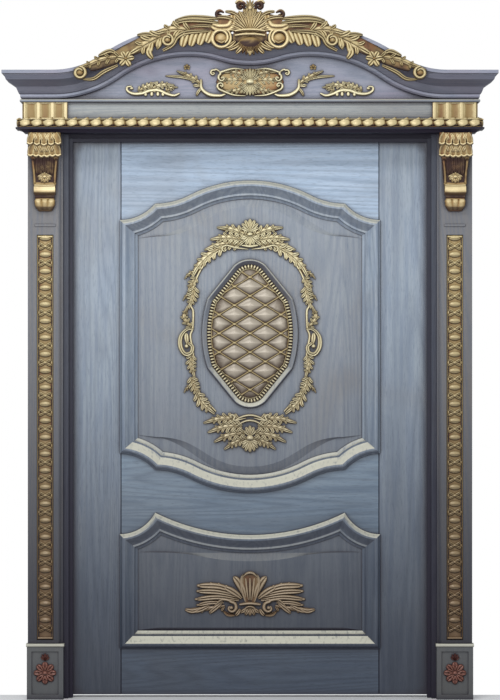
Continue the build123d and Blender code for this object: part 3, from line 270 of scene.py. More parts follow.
@dataclass(frozen=True)
class GiltFinish:
    """Leaf metal over a dark ground: bright on the crests, umber where deep or sheltered, painted lighter facing
    up and darker facing down.
    """

    name: str
    crest: Colour = (0.97, 0.93, 0.76)
    flank: Colour = (0.70, 0.61, 0.42)
    warm: Colour = (0.62, 0.44, 0.28)
    hollow: Colour = (0.20, 0.13, 0.10)
    # colour of the painted shade that is multiplied in towards the foot
    foot_shade: Colour = (0.60, 0.54, 0.55)
    metal: float = 0.12
    deep: float = 0.006
    # share of painted shade where the surface faces down
    under: float = 0.8

    def build(self) -> bpy.types.Material:
        """The finish as a node material.

        Returns:
            The material.
        """
        g = Graph(self.name, self.flank)
        cloud = g.noise(g.spot, 34.0, 4.0, 0.4)
        grit = g.noise(g.spot, 420.0, 3.0)
        height = g.add("ShaderNodeAttribute", attribute_name="relief").outputs["Fac"]
        open_air, facing = g.shelter(self.deep), g.facing()
        bare = g.times(height, g.math("MULTIPLY_ADD", open_air, 0.5, 0.5))
        wear_and_highlight = g.math("ADD", bare, g.math("MULTIPLY_ADD", cloud, 0.36, -0.18))
        # painted highlight: what faces up counts as more worn, so it takes the crest colour sooner
        wear_and_highlight = g.math("ADD", wear_and_highlight, g.span(facing, -0.1, 0.75, 0.0, 0.2))
        g.coat(g.span(g.noise(g.spot, 9.0, 2.0, 0.6), 0.42, 0.66), self.warm)
        g.coat(g.span(wear_and_highlight, 0.3, 0.55), self.flank)
        g.coat(g.span(wear_and_highlight, 0.34, 0.06), self.hollow)
        g.coat(g.span(wear_and_highlight, 0.5, 0.88), self.crest)
        g.coat(g.span(open_air, 0.62, 0.18, 0.0, 0.75), self.hollow)
        # painted shade: the hollow colour laid where the surface faces down
        g.coat(g.span(facing, 0.0, -0.6, 0.0, self.under), self.hollow)
        g.coat(g.span(grit, 0.58, 0.78, 0.0, 0.35), self.hollow)
        # painted shade: darker towards the foot, by height
        g.coat(g.span(g.upwards(g.spot), 1.75, 0.1), self.foot_shade, "MULTIPLY")
        normal = g.bump(g.math("ADD", g.times(cloud, 0.7), g.times(grit, 0.3)), 0.3, 0.0008)
        return g.surface(Metallic=self.metal, Roughness=g.span(wear_and_highlight, 1.0, 0.1, 0.3, 0.66), Normal=normal)


@dataclass(frozen=True)
class MetalFinish:
    """Turned and rolled brass with fine lines and a little tarnish."""

    name: str
    bright: Colour = (0.83, 0.68, 0.38)
    tarnish: Colour = (0.42, 0.31, 0.17)

    def build(self) -> bpy.types.Material:
        """The finish as a node material.

        Returns:
            The material.
        """
        g = Graph(self.name, self.bright)
        lines = g.noise(g.place((1, 1, 0.05)), 900.0, 2.0)
        g.coat(g.span(g.noise(g.spot, 60.0, 4.0, 0.5), 0.4, 0.8), self.tarnish)
        rough = g.math("MULTIPLY_ADD", lines, 0.3, 0.2)
        return g.surface(Metallic=0.9, Roughness=rough, Normal=g.bump(lines, 0.2, 0.0003))


def swell(size: Size, share: np.ndarray) -> np.ndarray:
    """How a size grows along a stroke to its most and then falls.

    Args:
        size: The most, its shares at the start and the end, and where the most is (the middle if left out).
        share: Places along the stroke, from 0 to 1.

    Returns:
        The size at each place.
    """
    most, start, end, peak = (*size, 0.5)[:4]
    rising = start + (1 - start) * np.sin(np.pi / 2 * np.clip(share / peak, 0, 1))
    falling = end + (1 - end) * dome(np.clip((share - peak) / (1 - peak), 0, 1))
    return most * np.where(share < peak, rising, falling)


def measure(line: np.ndarray) -> np.ndarray:
    """The length of a line up to each of its points."""
    return np.concatenate([[0], np.cumsum(np.hypot(*np.diff(line, axis=0).T))])


def flow(points: Line, spacing: float = 2.5) -> np.ndarray:
    """A smooth line through points.

    Args:
        points: The points, in millimetres.
        spacing: The distance between the line's own points.

    Returns:
        The line's points, a little closer together at its ends.
    """
    knots = np.array(points, float)
    if len(knots) == 2:
        fine = knots[0] + np.linspace(0, 1, 20)[:, None] * (knots[1] - knots[0])
    else:
        padded = np.vstack([2 * knots[0] - knots[1], knots, 2 * knots[-1] - knots[-2]])
        t = np.linspace(0, 1, 16, endpoint=False)[:, None]
        fine = np.vstack([
            *(0.5 * (2 * b + (c - a) * t + (2 * a - 5 * b + 4 * c - d) * t**2 + (3 * b - a - 3 * c + d) * t**3)
              for a, b, c, d in zip(padded, padded[1:], padded[2:], padded[3:])),
            knots[-1:],
        ])
    gone = measure(fine)
    ease = np.linspace(0, 1, max(6, int(gone[-1] / spacing) + 1))
    ease = 0.65 * ease + 0.35 * (0.5 - 0.5 * np.cos(np.pi * ease))
    return np.column_stack([np.interp(ease * gone[-1], gone, fine[:, k]) for k in (0, 1)])


def spiral(centre: Point, radius: float, turns: float, start: float, hand: int, tail: float = 0.3) -> list[Point]:
    """Points of a volute winding inwards.

    Args:
        centre: Its eye.
        radius: Its outer radius.
        turns: How many turns it makes.
        start: The angle of its outer end, in degrees from the right.
        hand: 1 to wind anticlockwise, -1 clockwise.
        tail: The share of the radius at its inner end.

    Returns:
        The points, from the outer end inwards.
    """
    count = max(6, int(12 * turns))
    spots = []
    for index in range(count + 1):
        share = index / count
        turn = math.radians(start) + hand * share * turns * 2 * math.pi
        reach = radius * (1 + (tail - 1) * share)
        spots.append((centre[0] + reach * math.cos(turn), centre[1] + reach * math.sin(turn)))
    return spots


def dome(u: np.ndarray) -> np.ndarray:
    """The height of a round top at these shares of its half width."""
    return np.sqrt(np.clip(1 - u**2, 0, 1))


SECTIONS: dict[Section, Callable[[np.ndarray], np.ndarray]] = {
    Section.ROUND: dome,
    Section.VEINED: lambda u: dome(u) ** 0.8 * (1 - 0.5 * np.exp(-((u / 0.22) ** 2))),
    Section.GOUGED: lambda u: 0.35 * dome(u) + 0.65 * np.exp(-(((np.abs(u) - 0.72) / 0.22) ** 2)),
    Section.RIDGED: lambda u: 1 - np.abs(u) ** 1.2,
    Section.HOLLOW: lambda u: np.abs(u) ** 2.5,
}


@dataclass
class Board:
    """Where carving stands: a plane, or a front whose depth changes with height."""

    ground: float | Callable[[np.ndarray], np.ndarray]
    origin: Point = (0.0, 0.0)
    turn: int = 0

    def place(self, across: np.ndarray, up: np.ndarray, rise: np.ndarray) -> np.ndarray:
        """Points of the row frame, in metres.

        Args:
            across: Distances along the board, in millimetres.
            up: Heights.
            rise: Distances out of the board's face.

        Returns:
            One row of three for each point.
        """
        ground = self.ground(up) if callable(self.ground) else self.ground
        if self.turn:
            return MM * np.column_stack([self.turn * (ground + rise), self.origin[0] + across, up])
        return MM * np.column_stack([self.origin[0] + across, ground - rise, self.origin[1] + up])


class Relief:
    """Gathers closed strokes, carved out of a board, into one mesh. Rises are shares of its own rise."""

    LOBE: Line = ((0, 0.06), (0.32, 0.34), (0.62, 0.7), (0.7, 1.0))

    def __init__(self, board: Board, rise: float, hands: Sequence[int] = (1,)) -> None:
        """Starts an empty carving.

        Args:
            board: What it is carved on.
            rise: The height that the rises of its strokes are shares of, in millimetres.
            hands: 1 to make each stroke as given, -1 to make its mirror image.
        """
        self.board, self.rise, self.hands = board, rise, hands
        self.bright = 1.0
        self.across = 9
        self.points: list[np.ndarray] = []
        self.tones: list[np.ndarray] = []
        self.rises: list[np.ndarray] = []
        self.faces: list[list[int]] = []
        self.count = 0

    def keep(self, rings: np.ndarray, rise: np.ndarray, tone: np.ndarray, closed: bool) -> None:
        """Adds a closed skin of rings, with its faces turned outwards.

        Args:
            rings: Points across and up, ring by ring.
            rise: Each point's height above the board, in millimetres.
            tone: How bright each point is gilded.
            closed: True to join the last ring to the first instead of capping both.
        """
        lines, around = rise.shape
        points = self.board.place(rings[..., 0].ravel(), rings[..., 1].ravel(), rise.ravel())
        base = np.arange(lines if closed else lines - 1)[:, None] * around
        ahead = (base + around) % (lines * around)
        side = np.arange(around)[None, :]
        after = (side + 1) % around
        quads = np.stack([base + side, base + after, ahead + after, ahead + side], axis=-1).reshape(-1, 4)
        a, b, c, d = (points[quads[:, k]] - points.mean(axis=0) for k in range(4))
        inside_out = np.sum(a * (np.cross(b, c) + np.cross(c, d))) < 0
        faces = quads.tolist()
        if not closed:
            faces += [list(range(around))[::-1], [(lines - 1) * around + k for k in range(around)]]
        self.faces.extend([self.count + k for k in (face[::-1] if inside_out else face)] for face in faces)
        self.points.append(points)
        self.tones.append(tone.ravel() * self.bright)
        self.rises.append(rise.ravel() * self.bright)
        self.count += lines * around

    def skin(self, rings: np.ndarray, rise: np.ndarray, tone: np.ndarray, closed: bool = False) -> None:
        """Adds a closed skin for each hand."""
        for hand in self.hands:
            self.keep(rings * (hand, 1), rise, tone, closed)

    def stroke(self, spine: Line, half: Size, rise: Size, section: Section = Section.ROUND, foot: float = 0.25,
               lift: float = 0.0, spacing: float = 2.5, shade: float = 0.0) -> None:
        """Carves one stroke along a line.

        Args:
            spine: Points that the line flows through.
            half: Half the stroke's width along it.
            rise: Its rise along it.
            section: The shape across it.
            foot: The share of its height that its edges have.
            lift: How far its whole top stands above the board besides, in millimetres.
            spacing: The distance between its rings.
            shade: How bright its hollows are gilded.
        """
        line = flow(spine, spacing)
        steps = np.hypot(*np.gradient(line, axis=0).T)
        share = np.cumsum(steps) - steps[0]
        share = share / share[-1]
        way = np.gradient(line, axis=0) / np.maximum(steps, 1e-9)[:, None]
        u = np.linspace(-1, 1, self.across)
        shape = SECTIONS[section](u)
        wide = np.maximum(swell(half, share), 0.15)[:, None] * u
        grown = swell(rise, share)[:, None]
        tops = line[:, None, :] + wide[..., None] * np.stack([-way[:, 1], way[:, 0]], axis=-1)[:, None, :]
        heights = lift * np.minimum(1, grown / rise[0] + 0.4) + self.rise * grown * (foot + (1 - foot) * shape)
        rings = np.concatenate([tops, tops[:, -1:], tops[:, :1]], axis=1)
        count = len(line)
        tone = np.hstack([np.tile(shade + (1 - shade) * shape, (count, 1)), np.zeros((count, 2))])
        self.skin(rings, np.hstack([heights, np.full((count, 2), SUNK)]), tone)

    def arch(self, half_spine: Line, *shape, **settings) -> None:
        """Carves a stroke that goes up to the middle and comes down as its own mirror image."""
        self.stroke([*half_spine, *((-x, z) for x, z in reversed(half_spine) if x)], *shape, **settings)

    def knob(self, centre: Point, radii: Point, rise: float, foot: float = 0.0) -> None:
        """Carves a domed button.

        Args:
            centre: Its middle.
            radii: Its half width and half height.
            rise: How far it stands out.
            foot: The height where its dome starts, in millimetres.
        """
        turns = np.linspace(0, 2 * np.pi, 20, endpoint=False)
        levels = np.linspace(0, np.pi / 2 * 0.94, 6)
        spread = np.concatenate([[1.0], np.cos(levels)])[:, None]
        top = rise * self.rise
        heights = np.concatenate([[SUNK], foot + (top - foot) * np.sin(levels)])
        rings = np.stack([centre[0] + radii[0] * spread * np.cos(turns),
                          centre[1] + radii[1] * spread * np.sin(turns)], axis=-1)
        tall = np.repeat(heights[:, None], len(turns), axis=1)
        self.skin(rings, tall, np.clip(tall / top, 0, 1))

    def finger(self, root: Point, aim: float, length: float, half: float, rise: float, bend: float = 0.0,
               rooted: float = 0.45, section: Section = Section.VEINED, lift: float = 0.0) -> None:
        """Carves one finger of a leaf.

        Args:
            root: Where it starts.
            aim: The way it first runs, in degrees from the right.
            length: Its length.
            half: Half its greatest width.
            rise: Its rise.
            bend: How far it turns by its tip, in degrees.
            rooted: The share of its width that its root has.
            section: The shape across it.
            lift: How far it stands above the board besides.
        """
        spine = [root]
        for step in range(4):
            way = math.radians(aim + bend * (step + 0.5) / 4)
            spine.append((spine[-1][0] + length / 4 * math.cos(way), spine[-1][1] + length / 4 * math.sin(way)))
        self.stroke(spine, (half, rooted, 0.0, 0.6), (rise, 0.6, 0.55, 0.75), section, 0.3, lift, length / 11)

    def leaf(self, spine: Line, reach: float, pairs: int, rise: float, sides: Sequence[int] = (1, -1)) -> None:
        """Carves an acanthus leaf: lobes that leave a midrib along it and peel outwards, the last at its tip.

        Args:
            spine: Points that the midrib flows through.
            reach: How far the longest lobe stands out from the midrib.
            pairs: How many lobes each side has.
            rise: The leaf's rise.
            sides: 1 for lobes on the left of the midrib, -1 for those on its right.
        """
        line = flow(spine, 1.2)
        steps = np.gradient(line, axis=0)
        steps /= np.hypot(*steps.T)[:, None]
        gone = measure(line)

        def spot(far: float, out: float) -> Point:
            """The point this far along the midrib and this far to its left."""
            over = max(0.0, far - gone[-1])
            x, z, dx, dz = (float(np.interp(far, gone, v)) for v in (*line.T, *steps.T))
            return (x + over * dx - out * dz, z + over * dz + out * dx)

        self.stroke(spine, (reach * 0.46, 0.6, 0.2, 0.45), (rise * 0.6, 0.8, 0.5), foot=0.2)
        for index in reversed(range(pairs)):
            share = index / pairs
            size = reach * (0.76 + 0.24 * math.sin(math.pi * min(1.0, share + 0.2))) * (1 - 0.28 * share)
            tall = (rise * (0.98 - 0.14 * share), 0.6, 0.65, 0.75)
            for side in sides:
                route = [spot(share * 0.86 * gone[-1] + far * size, side * out * size) for far, out in self.LOBE]
                self.stroke(route, (size * 0.3, 0.6, 0.15, 0.6), tall, Section.VEINED, spacing=size / 9)
        tip = [spot(gone[-1] * share, 0) for share in (0.66, 0.84, 1.0)] + [spot(gone[-1] + reach * 0.34, 0)]
        self.stroke(tip, (reach * 0.25, 0.5, 0.1), (rise * 0.9, 0.6, 0.6, 0.7), Section.VEINED, 0.3)
        self.stroke(spine, (reach * 0.09, 1.0, 0.4, 0.3), (rise * 0.96, 0.9, 0.6, 0.4), Section.RIDGED, 0.4)

    def fan(self, centre: Point, radius: float, count: int, aims: Point, rise: float, crown: float = 0.25,
            bend: float = 0.0, **fingers) -> None:
        """Carves a palmette or shell: fingers that fan out of one point.

        Args:
            centre: The point.
            radius: The length of the middle fingers.
            count: How many fingers it has.
            aims: The angles of its first and last fingers, in degrees from the right.
            rise: Its rise.
            crown: How much shorter the outer fingers are, as a share.
            bend: How far the outer fingers curl outwards, in degrees.
            **fingers: The section and the lift of its fingers.
        """
        first, last = aims
        half = radius * math.radians((last - first) / (count - 1)) * 0.42
        for index in sorted(range(count), key=lambda index: -abs(index - (count - 1) / 2)):
            off = 2 * index / (count - 1) - 1
            aim = (first + last) / 2 + off * (last - first) / 2 - bend * off * 0.3
            length = radius * (1 - crown * off * off)
            self.finger(centre, aim, length, half, rise * (1 - 0.12 * abs(off)), bend * off, 0.2, **fingers)

    def curl(self, stem: Line, eye: Point, radius: float, turns: float, start: float, hand: int, half: float,
             rise: float) -> None:
        """Carves a stem that ends in a volute with a button for its eye.

        Args:
            stem: Points of the stem, up to where the volute starts.
            eye: The volute's middle.
            radius: Its outer radius.
            turns: How many turns it makes.
            start: The angle of its outer end, in degrees from the right.
            hand: 1 to wind anticlockwise, -1 clockwise.
            half: Half the stem's width.
            rise: Its rise.
        """
        wound = spiral(eye, radius, turns, start, hand)
        self.stroke([*stem, *wound], (half, 0.35, 0.45, 0.45), (rise, 0.6, 0.9), foot=0.3)
        self.knob(eye, (radius * 0.34, radius * 0.34), rise * 1.05, rise * self.rise * 0.4)

    def install(self, node: str, body: str, slot: str, finish: bpy.types.Material) -> None:
        """Makes the carving's mesh and puts it in a CAD node's place.

        Args:
            node: The node that it stands for.
            body: The body that it rides on.
            slot: Its material slot; not used.
            finish: Its material, which reads each point's share of relief.
        """
        name = node + "_carved"
        data = bpy.data.meshes.new(name)
        data.from_pydata(np.concatenate(self.points).tolist(), [], self.faces)
        rises = np.concatenate(self.rises)
        tall = np.clip(rises / max(np.percentile(rises, 97), 1e-6), 0, 1)
        tone = np.clip(0.55 * np.concatenate(self.tones) + 0.45 * tall, 0, 1)
        held = data.attributes.new("relief", "FLOAT", "POINT")
        held.data.foreach_set("value", tone.astype(np.float32))
        data.polygons.foreach_set("use_smooth", [True] * len(data.polygons))
        data.set_sharp_from_angle(angle=SMOOTH_BELOW)
        data.materials.append(finish)
        piece = put(name, data)
        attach(piece, body)
        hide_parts(node)
        log.info("%s: %d faces", name, len(data.polygons))


@dataclass
class Carving:
    """A carved piece that stands for a CAD node."""

    node: str
    finish: bpy.types.Material
    body: str = "frame"
    slot: str = "antique_gilding"
    side: int = -1
    hands: tuple[int, ...] = (1, -1)
    rise: float = 1.0

    def board(self) -> Board:
        """The face that the node stands on."""
        return Board(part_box(self.node)[1].y / MM)

    def carve(self, cut: Relief) -> None:
        """Carves the piece's strokes."""
        raise NotImplementedError

    def build(self) -> None:
        """Carves the piece and puts it in its node's place."""
        cut = Relief(self.board(), self.rise, self.hands)
        self.carve(cut)
        cut.install(self.node, self.body, self.slot, self.finish)


@dataclass(frozen=True)
class Sprig:
    """A leaf of a spray: its midrib, how far its lobes reach, how many pairs it has and its rise."""

    spine: Line
    reach: float
    pairs: int
    rise: float = 0.95


@dataclass(frozen=True)
class Strand:
    """A plain stroke of a spray: its line, half its width and its rise."""

    spine: Line
    half: float
    rise: float = 0.95


@dataclass
class Wreath(Carving):
    """The oval wreath of leafy sprigs, with a spray at its top and foot."""

    body: str = "leaf"
    rise: float = 15.0
    sprigs: tuple[Sprig, ...] = (
        Sprig(((-196, 1544), (-218, 1534), (-236, 1516)), 11, 3, 0.7),
        Sprig(((-206, 1466), (-226, 1456), (-242, 1438)), 11, 3, 0.7),
        Sprig(((-206, 1128), (-224, 1122), (-238, 1104)), 11, 3, 0.7),
        Sprig(((-104, 1626), (-150, 1600), (-186, 1562), (-206, 1526)), 28, 5),
        Sprig(((-196, 1520), (-210, 1498), (-222, 1472)), 19, 3, 0.85),
        Sprig(((-202, 1484), (-208, 1450), (-220, 1412)), 24, 4),
        Sprig(((-214, 1338), (-238, 1374), (-226, 1414)), 18, 4),
        Sprig(((-210, 1238), (-214, 1204), (-202, 1162)), 22, 4),
        Sprig(((-212, 1158), (-202, 1124), (-186, 1090)), 24, 4),
        Sprig(((-192, 1098), (-170, 1062), (-134, 1030)), 27, 4),
        Sprig(((-40, 1638), (-100, 1640), (-158, 1622)), 25, 5, 0.85),
        Sprig(((-18, 1654), (-80, 1664), (-136, 1658)), 27, 5, 0.95),
        Sprig(((-12, 1672), (-60, 1692), (-112, 1700)), 25, 4, 1.0),
        Sprig(((-40, 1004), (-100, 1008), (-162, 994)), 24, 5, 0.85),
        Sprig(((-30, 980), (-90, 978), (-146, 960)), 26, 5, 0.9),
        Sprig(((-20, 956), (-74, 948), (-124, 926)), 25, 4, 0.95),
        Sprig(((-12, 936), (-50, 924), (-88, 900)), 23, 4, 1.0),
    )
    bow: Line = (
        (-204, 1334), (-230, 1330), (-251, 1304), (-252, 1268), (-236, 1242), (-214, 1246), (-209, 1268),
        (-224, 1282),
    )
    stem: Line = (
        (-96, 1632), (-160, 1574), (-198, 1506), (-214, 1424), (-206, 1396), (-208, 1336), (-216, 1306),
        (-206, 1244), (-204, 1170), (-182, 1100), (-124, 1034),
    )

    def carve(self, cut: Relief) -> None:
        """Carves the stem, the sprigs, the scrolls and the bows where the two halves meet."""
        cut.stroke(self.stem, (4.2, 1, 0.7), (0.55, 1, 0.8))
        for sprig in self.sprigs:
            cut.leaf(sprig.spine, sprig.reach, sprig.pairs, sprig.rise)
        cut.stroke(self.bow, (8.5, 0.5, 0.6), (1, 0.7, 0.8), Section.VEINED)
        cut.finger((-226, 1276), 104, 44, 9, 0.85, -14)
        cut.knob((-230, 1270), (7, 8), 1.05, 4)
        cut.curl([(-6, 1622), (-50, 1627), (-84, 1636)], (-92, 1622), 12, 0.9, 80, 1, 4.5, 0.95)
        cut.curl([(-14, 1010), (-50, 1002)], (-66, 1014), 11, 0.9, 300, 1, 4.5, 0.9)
        cut.hands = (1,)
        cut.arch([(-66, 996), (-30, 1014), (0, 1020)], (4.5, 0.5, 0.5), (0.9, 0.8, 0.8))
        cut.arch([(-50, 980), (-24, 996), (0, 1001)], (4.5, 0.5, 0.5), (0.9, 0.8, 0.8))
        cut.fan((0, 1686), 47, 7, (22, 158), 1.08, lift=1.5)
        cut.fan((0, 1672), 42, 7, (200, 340), 1, crown=0.1, lift=1)
        cut.knob((0, 1676), (11, 9), 1.2, 4)
        cut.arch([(-30, 1636), (0, 1632)], (6, 0.5, 0.5), (1.1, 0.8, 0.8))
        cut.fan((0, 946), 38, 5, (40, 140), 1, lift=1)
        cut.fan((0, 932), 48, 7, (205, 335), 1.05, lift=1)
        cut.knob((0, 938), (13, 12), 1.2, 4)


@dataclass
class Medallion:
    """The medallion: an oak ring, a ribbed border and a cushioned field under a lattice."""

    gilt: bpy.types.Material
    old_gilt: bpy.types.Material
    cushion: bpy.types.Material
    oak: bpy.types.Material
    half_width: float = 175.0
    half_height: float = 270.0
    neck: Point = (0.33, 0.915)
    shoulder: Point = (0.88, 0.474)
    middle: float = 1316.0
    ring: float = 16.0
    border: float = 21.0
    rib_pitch: float = 11.0
    pitch: float = 112.0
    step: float = 68.0
    band: float = 5.0
    rise: float = 9.0
    puff: float = 16.0
    squareness: float = 1.15
    ring_profile: Line = (
        (0, SUNK), (0, 6), (0.5, 10), (1.6, 13.6), (3.2, 15.6), (5, 16), (6.8, 15.2), (17, 6.2), (18.5, 5.4),
        (18.5, SUNK),
    )

    def outline(self, inset: float) -> np.ndarray:
        """The medallion's outline, moved in by this much.

        Args:
            inset: How far inside the outer line it runs.

        Returns:
            The points of the closed line, about the medallion's middle.
        """
        corner = np.array((self.half_width, self.half_height))
        neck, shoulder = corner * self.neck, corner * self.shoulder

        def arc(level: np.ndarray, end: np.ndarray) -> np.ndarray:
            """Points of the arc that leaves level along the first axis and ends at end."""
            run, drop = np.abs(end - level)
            radius = (run * run + drop * drop) / (2 * drop)
            s = np.linspace(0, run, 24)
            return np.column_stack([level[0] + s, level[1] - radius + np.sqrt(radius**2 - s**2)])

        top = arc(corner * (0, 1), neck)
        side = arc(corner[::-1] * (0, 1), shoulder[::-1])[::-1, ::-1]
        straight = neck + np.linspace(0, 1, 10)[:, None] * (shoulder - neck)
        quarter = np.vstack([top, straight[1:-1], side])
        half = np.vstack([quarter, (quarter * (1, -1))[::-1][1:]])
        whole = np.vstack([half, (half * (-1, 1))[::-1][1:-1]])
        way = np.roll(whole, -1, axis=0) - np.roll(whole, 1, axis=0)
        way /= np.hypot(*way.T)[:, None]
        inner = np.column_stack([-way[:, 1], way[:, 0]])
        return whole + inset * np.where((inner * whole).sum(1) < 0, 1, -1)[:, None] * inner

    def holds(self, line: np.ndarray, x: np.ndarray, z: np.ndarray) -> np.ndarray:
        """Whether each point lies inside a closed line."""
        ax, az = line.T[..., None]
        bx, bz = np.roll(line, -1, axis=0).T[..., None]
        cross = ax + (z - az) / np.where(bz == az, 1e-9, bz - az) * (bx - ax)
        return (((az > z) != (bz > z)) & (x < cross)).sum(0) % 2 == 1

    def start(self, node: str) -> Relief:
        """An empty carving on the node's ground, about the medallion's middle."""
        return Relief(Board(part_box(node)[1].y / MM, (0, self.middle)), self.rise)

    def hoop(self, cut: Relief, profile: Sequence[tuple[float, float, float]]) -> None:
        """Carves a moulding that runs all round the medallion.

        Args:
            cut: What is being carved.
            profile: Inset, height and brightness of each corner of its closed section.
        """
        rings = np.stack([self.outline(inset) for inset, _, _ in profile], axis=1)
        rise, tone = (np.tile([corner[k] for corner in profile], (len(rings), 1)) for k in (1, 2))
        cut.skin(rings, rise, tone, closed=True)

    def build_ring(self) -> None:
        """Makes the oak ring: a bold roll that slopes in to the border."""
        cut = self.start("medallion_ring")
        self.hoop(cut, [(*corner, 1.0) for corner in self.ring_profile])
        cut.install("medallion_ring", "leaf", "blue_grey_oak", self.oak)

    def build_border(self) -> None:
        """Makes the border: ribs across a sunk bed, with a bead round its inside."""
        cut = self.start("medallion_border")
        middle = self.outline(self.ring + self.border / 2)
        closed = np.vstack([middle, middle[:1]])
        gone = measure(closed)
        count = int(gone[-1] / self.rib_pitch)
        for k in range(count):
            far = (k + 0.5) / count * gone[-1]
            spot, ahead = (
                np.array([np.interp(at % gone[-1], gone, closed[:, i]) for i in (0, 1)]) for at in (far, far + 1)
            )
            way = (ahead - spot) / np.hypot(*(ahead - spot))
            across = np.array((-way[1], way[0])) * self.border * 0.33
            cut.stroke([spot - across, spot + across], (4.0, 0.6, 0.5), (1, 0.75, 0.7), foot=0.1, spacing=2.0)
        start, end = self.ring, self.ring + self.border
        self.hoop(cut, [(start, SUNK, 0), (start, 1.5, 0), (end, 1.5, 0), (end, SUNK, 0)])
        turns = [math.radians(a) for a in range(0, 181, 30)]
        self.hoop(cut, [(end - 1.6 - 2.2 * math.cos(a), 1 + 6.5 * math.sin(a), 0.6 * math.sin(a)) for a in turns])
        cut.install("medallion_border", "leaf", "antique_gilding", self.gilt)

    def build_lattice(self) -> None:
        """Makes the lattice: ridged bands with a button where two cross."""
        cut = self.start("medallion_lattice")
        line = self.outline(self.ring + self.border - 1)
        rows = int(self.half_height / self.step) + 3
        x = np.linspace(-self.half_width, self.half_width, 700)
        for index in range(-rows, rows + 1):
            for side in (-1, 1):
                z = index * self.step + side * self.step / self.pitch * x
                inside = np.flatnonzero(self.holds(line, x, z))
                if len(inside) >= 12:
                    ends = [(x[k], z[k]) for k in inside[[0, -1]]]
                    cut.stroke(ends, (self.band, 1, 1), (0.85, 1, 1), Section.RIDGED, 0.3, spacing=6.0)
        for x, z in self.crossings(0):
            if self.holds(line, np.array([x]), np.array([z]))[0]:
                cut.knob((x, z), (8.0, 5.5), 1.2, 3)
        cut.install("medallion_lattice", "leaf", "antique_gilding", self.old_gilt)

    def crossings(self, odd: int) -> list[Point]:
        """The places where the lattice's bands cross, or with odd at 1 the middles of its meshes."""
        spots = [(column, row) for column in range(-4, 5) for row in range(-12, 13) if (column + row) % 2 == odd]
        return [(column * self.pitch / 2, row * self.step / 2) for column, row in spots]

    def build_cushions(self) -> None:
        """Makes the cushioned field: one soft lozenge in each mesh of the lattice."""
        cut = self.start("medallion_ground")
        line = self.outline(self.ring + self.border - 2)
        for x, z in self.crossings(1):
            self.pillow(cut, line, x, z)
        ground = np.linspace(1, 0.02, 3)[:, None, None] * line[None]
        heights = np.repeat([[SUNK], [2.0], [2.0], [2.0]], len(line), axis=1)
        cut.skin(np.concatenate([line[None], ground]), heights, np.zeros_like(heights))
        cut.install("medallion_ground", "leaf", "silver_lilac_cushions", self.cushion)

    def pillow(self, cut: Relief, line: np.ndarray, x: float, z: float) -> None:
        """Carves one cushion.

        Args:
            cut: What is being carved.
            line: The field's outline, that the cushion is cut off at.
            x: Its middle, across.
            z: Its middle, up.
        """
        turns = np.linspace(0, 2 * np.pi, 48, endpoint=False)
        way = np.column_stack([np.cos(turns), np.sin(turns)])
        power = (np.abs(way) ** self.squareness).sum(1, keepdims=True) ** (-1 / self.squareness)
        rim = power * way * (self.pitch / 2, self.step / 2) + (x, z)
        inside = self.holds(line, *rim.T)
        if inside.sum() < 8:
            return
        heart = rim[inside].mean(axis=0) if inside.sum() < len(rim) * 0.6 else np.array([x, z])
        for _ in range(40):
            out = ~self.holds(line, *rim.T)
            rim[out] += (heart - rim[out]) * 0.08
        spread = np.array([0.96, 0.96, 0.9, 0.8, 0.66, 0.48, 0.28, 0.06])
        puff = self.puff * (0.45 + 0.55 * inside.mean())
        rise = np.concatenate([[SUNK], 1 + (puff - 1) * dome(spread[1:])])
        tall = np.repeat(rise[:, None], len(turns), axis=1)
        cut.skin(heart + spread[:, None, None] * (rim - heart), tall, tall / self.puff)

    def build(self) -> None:
        """Makes the ring, the border, the lattice and the cushions."""
        self.build_ring()
        self.build_border()
        self.build_lattice()
        self.build_cushions()


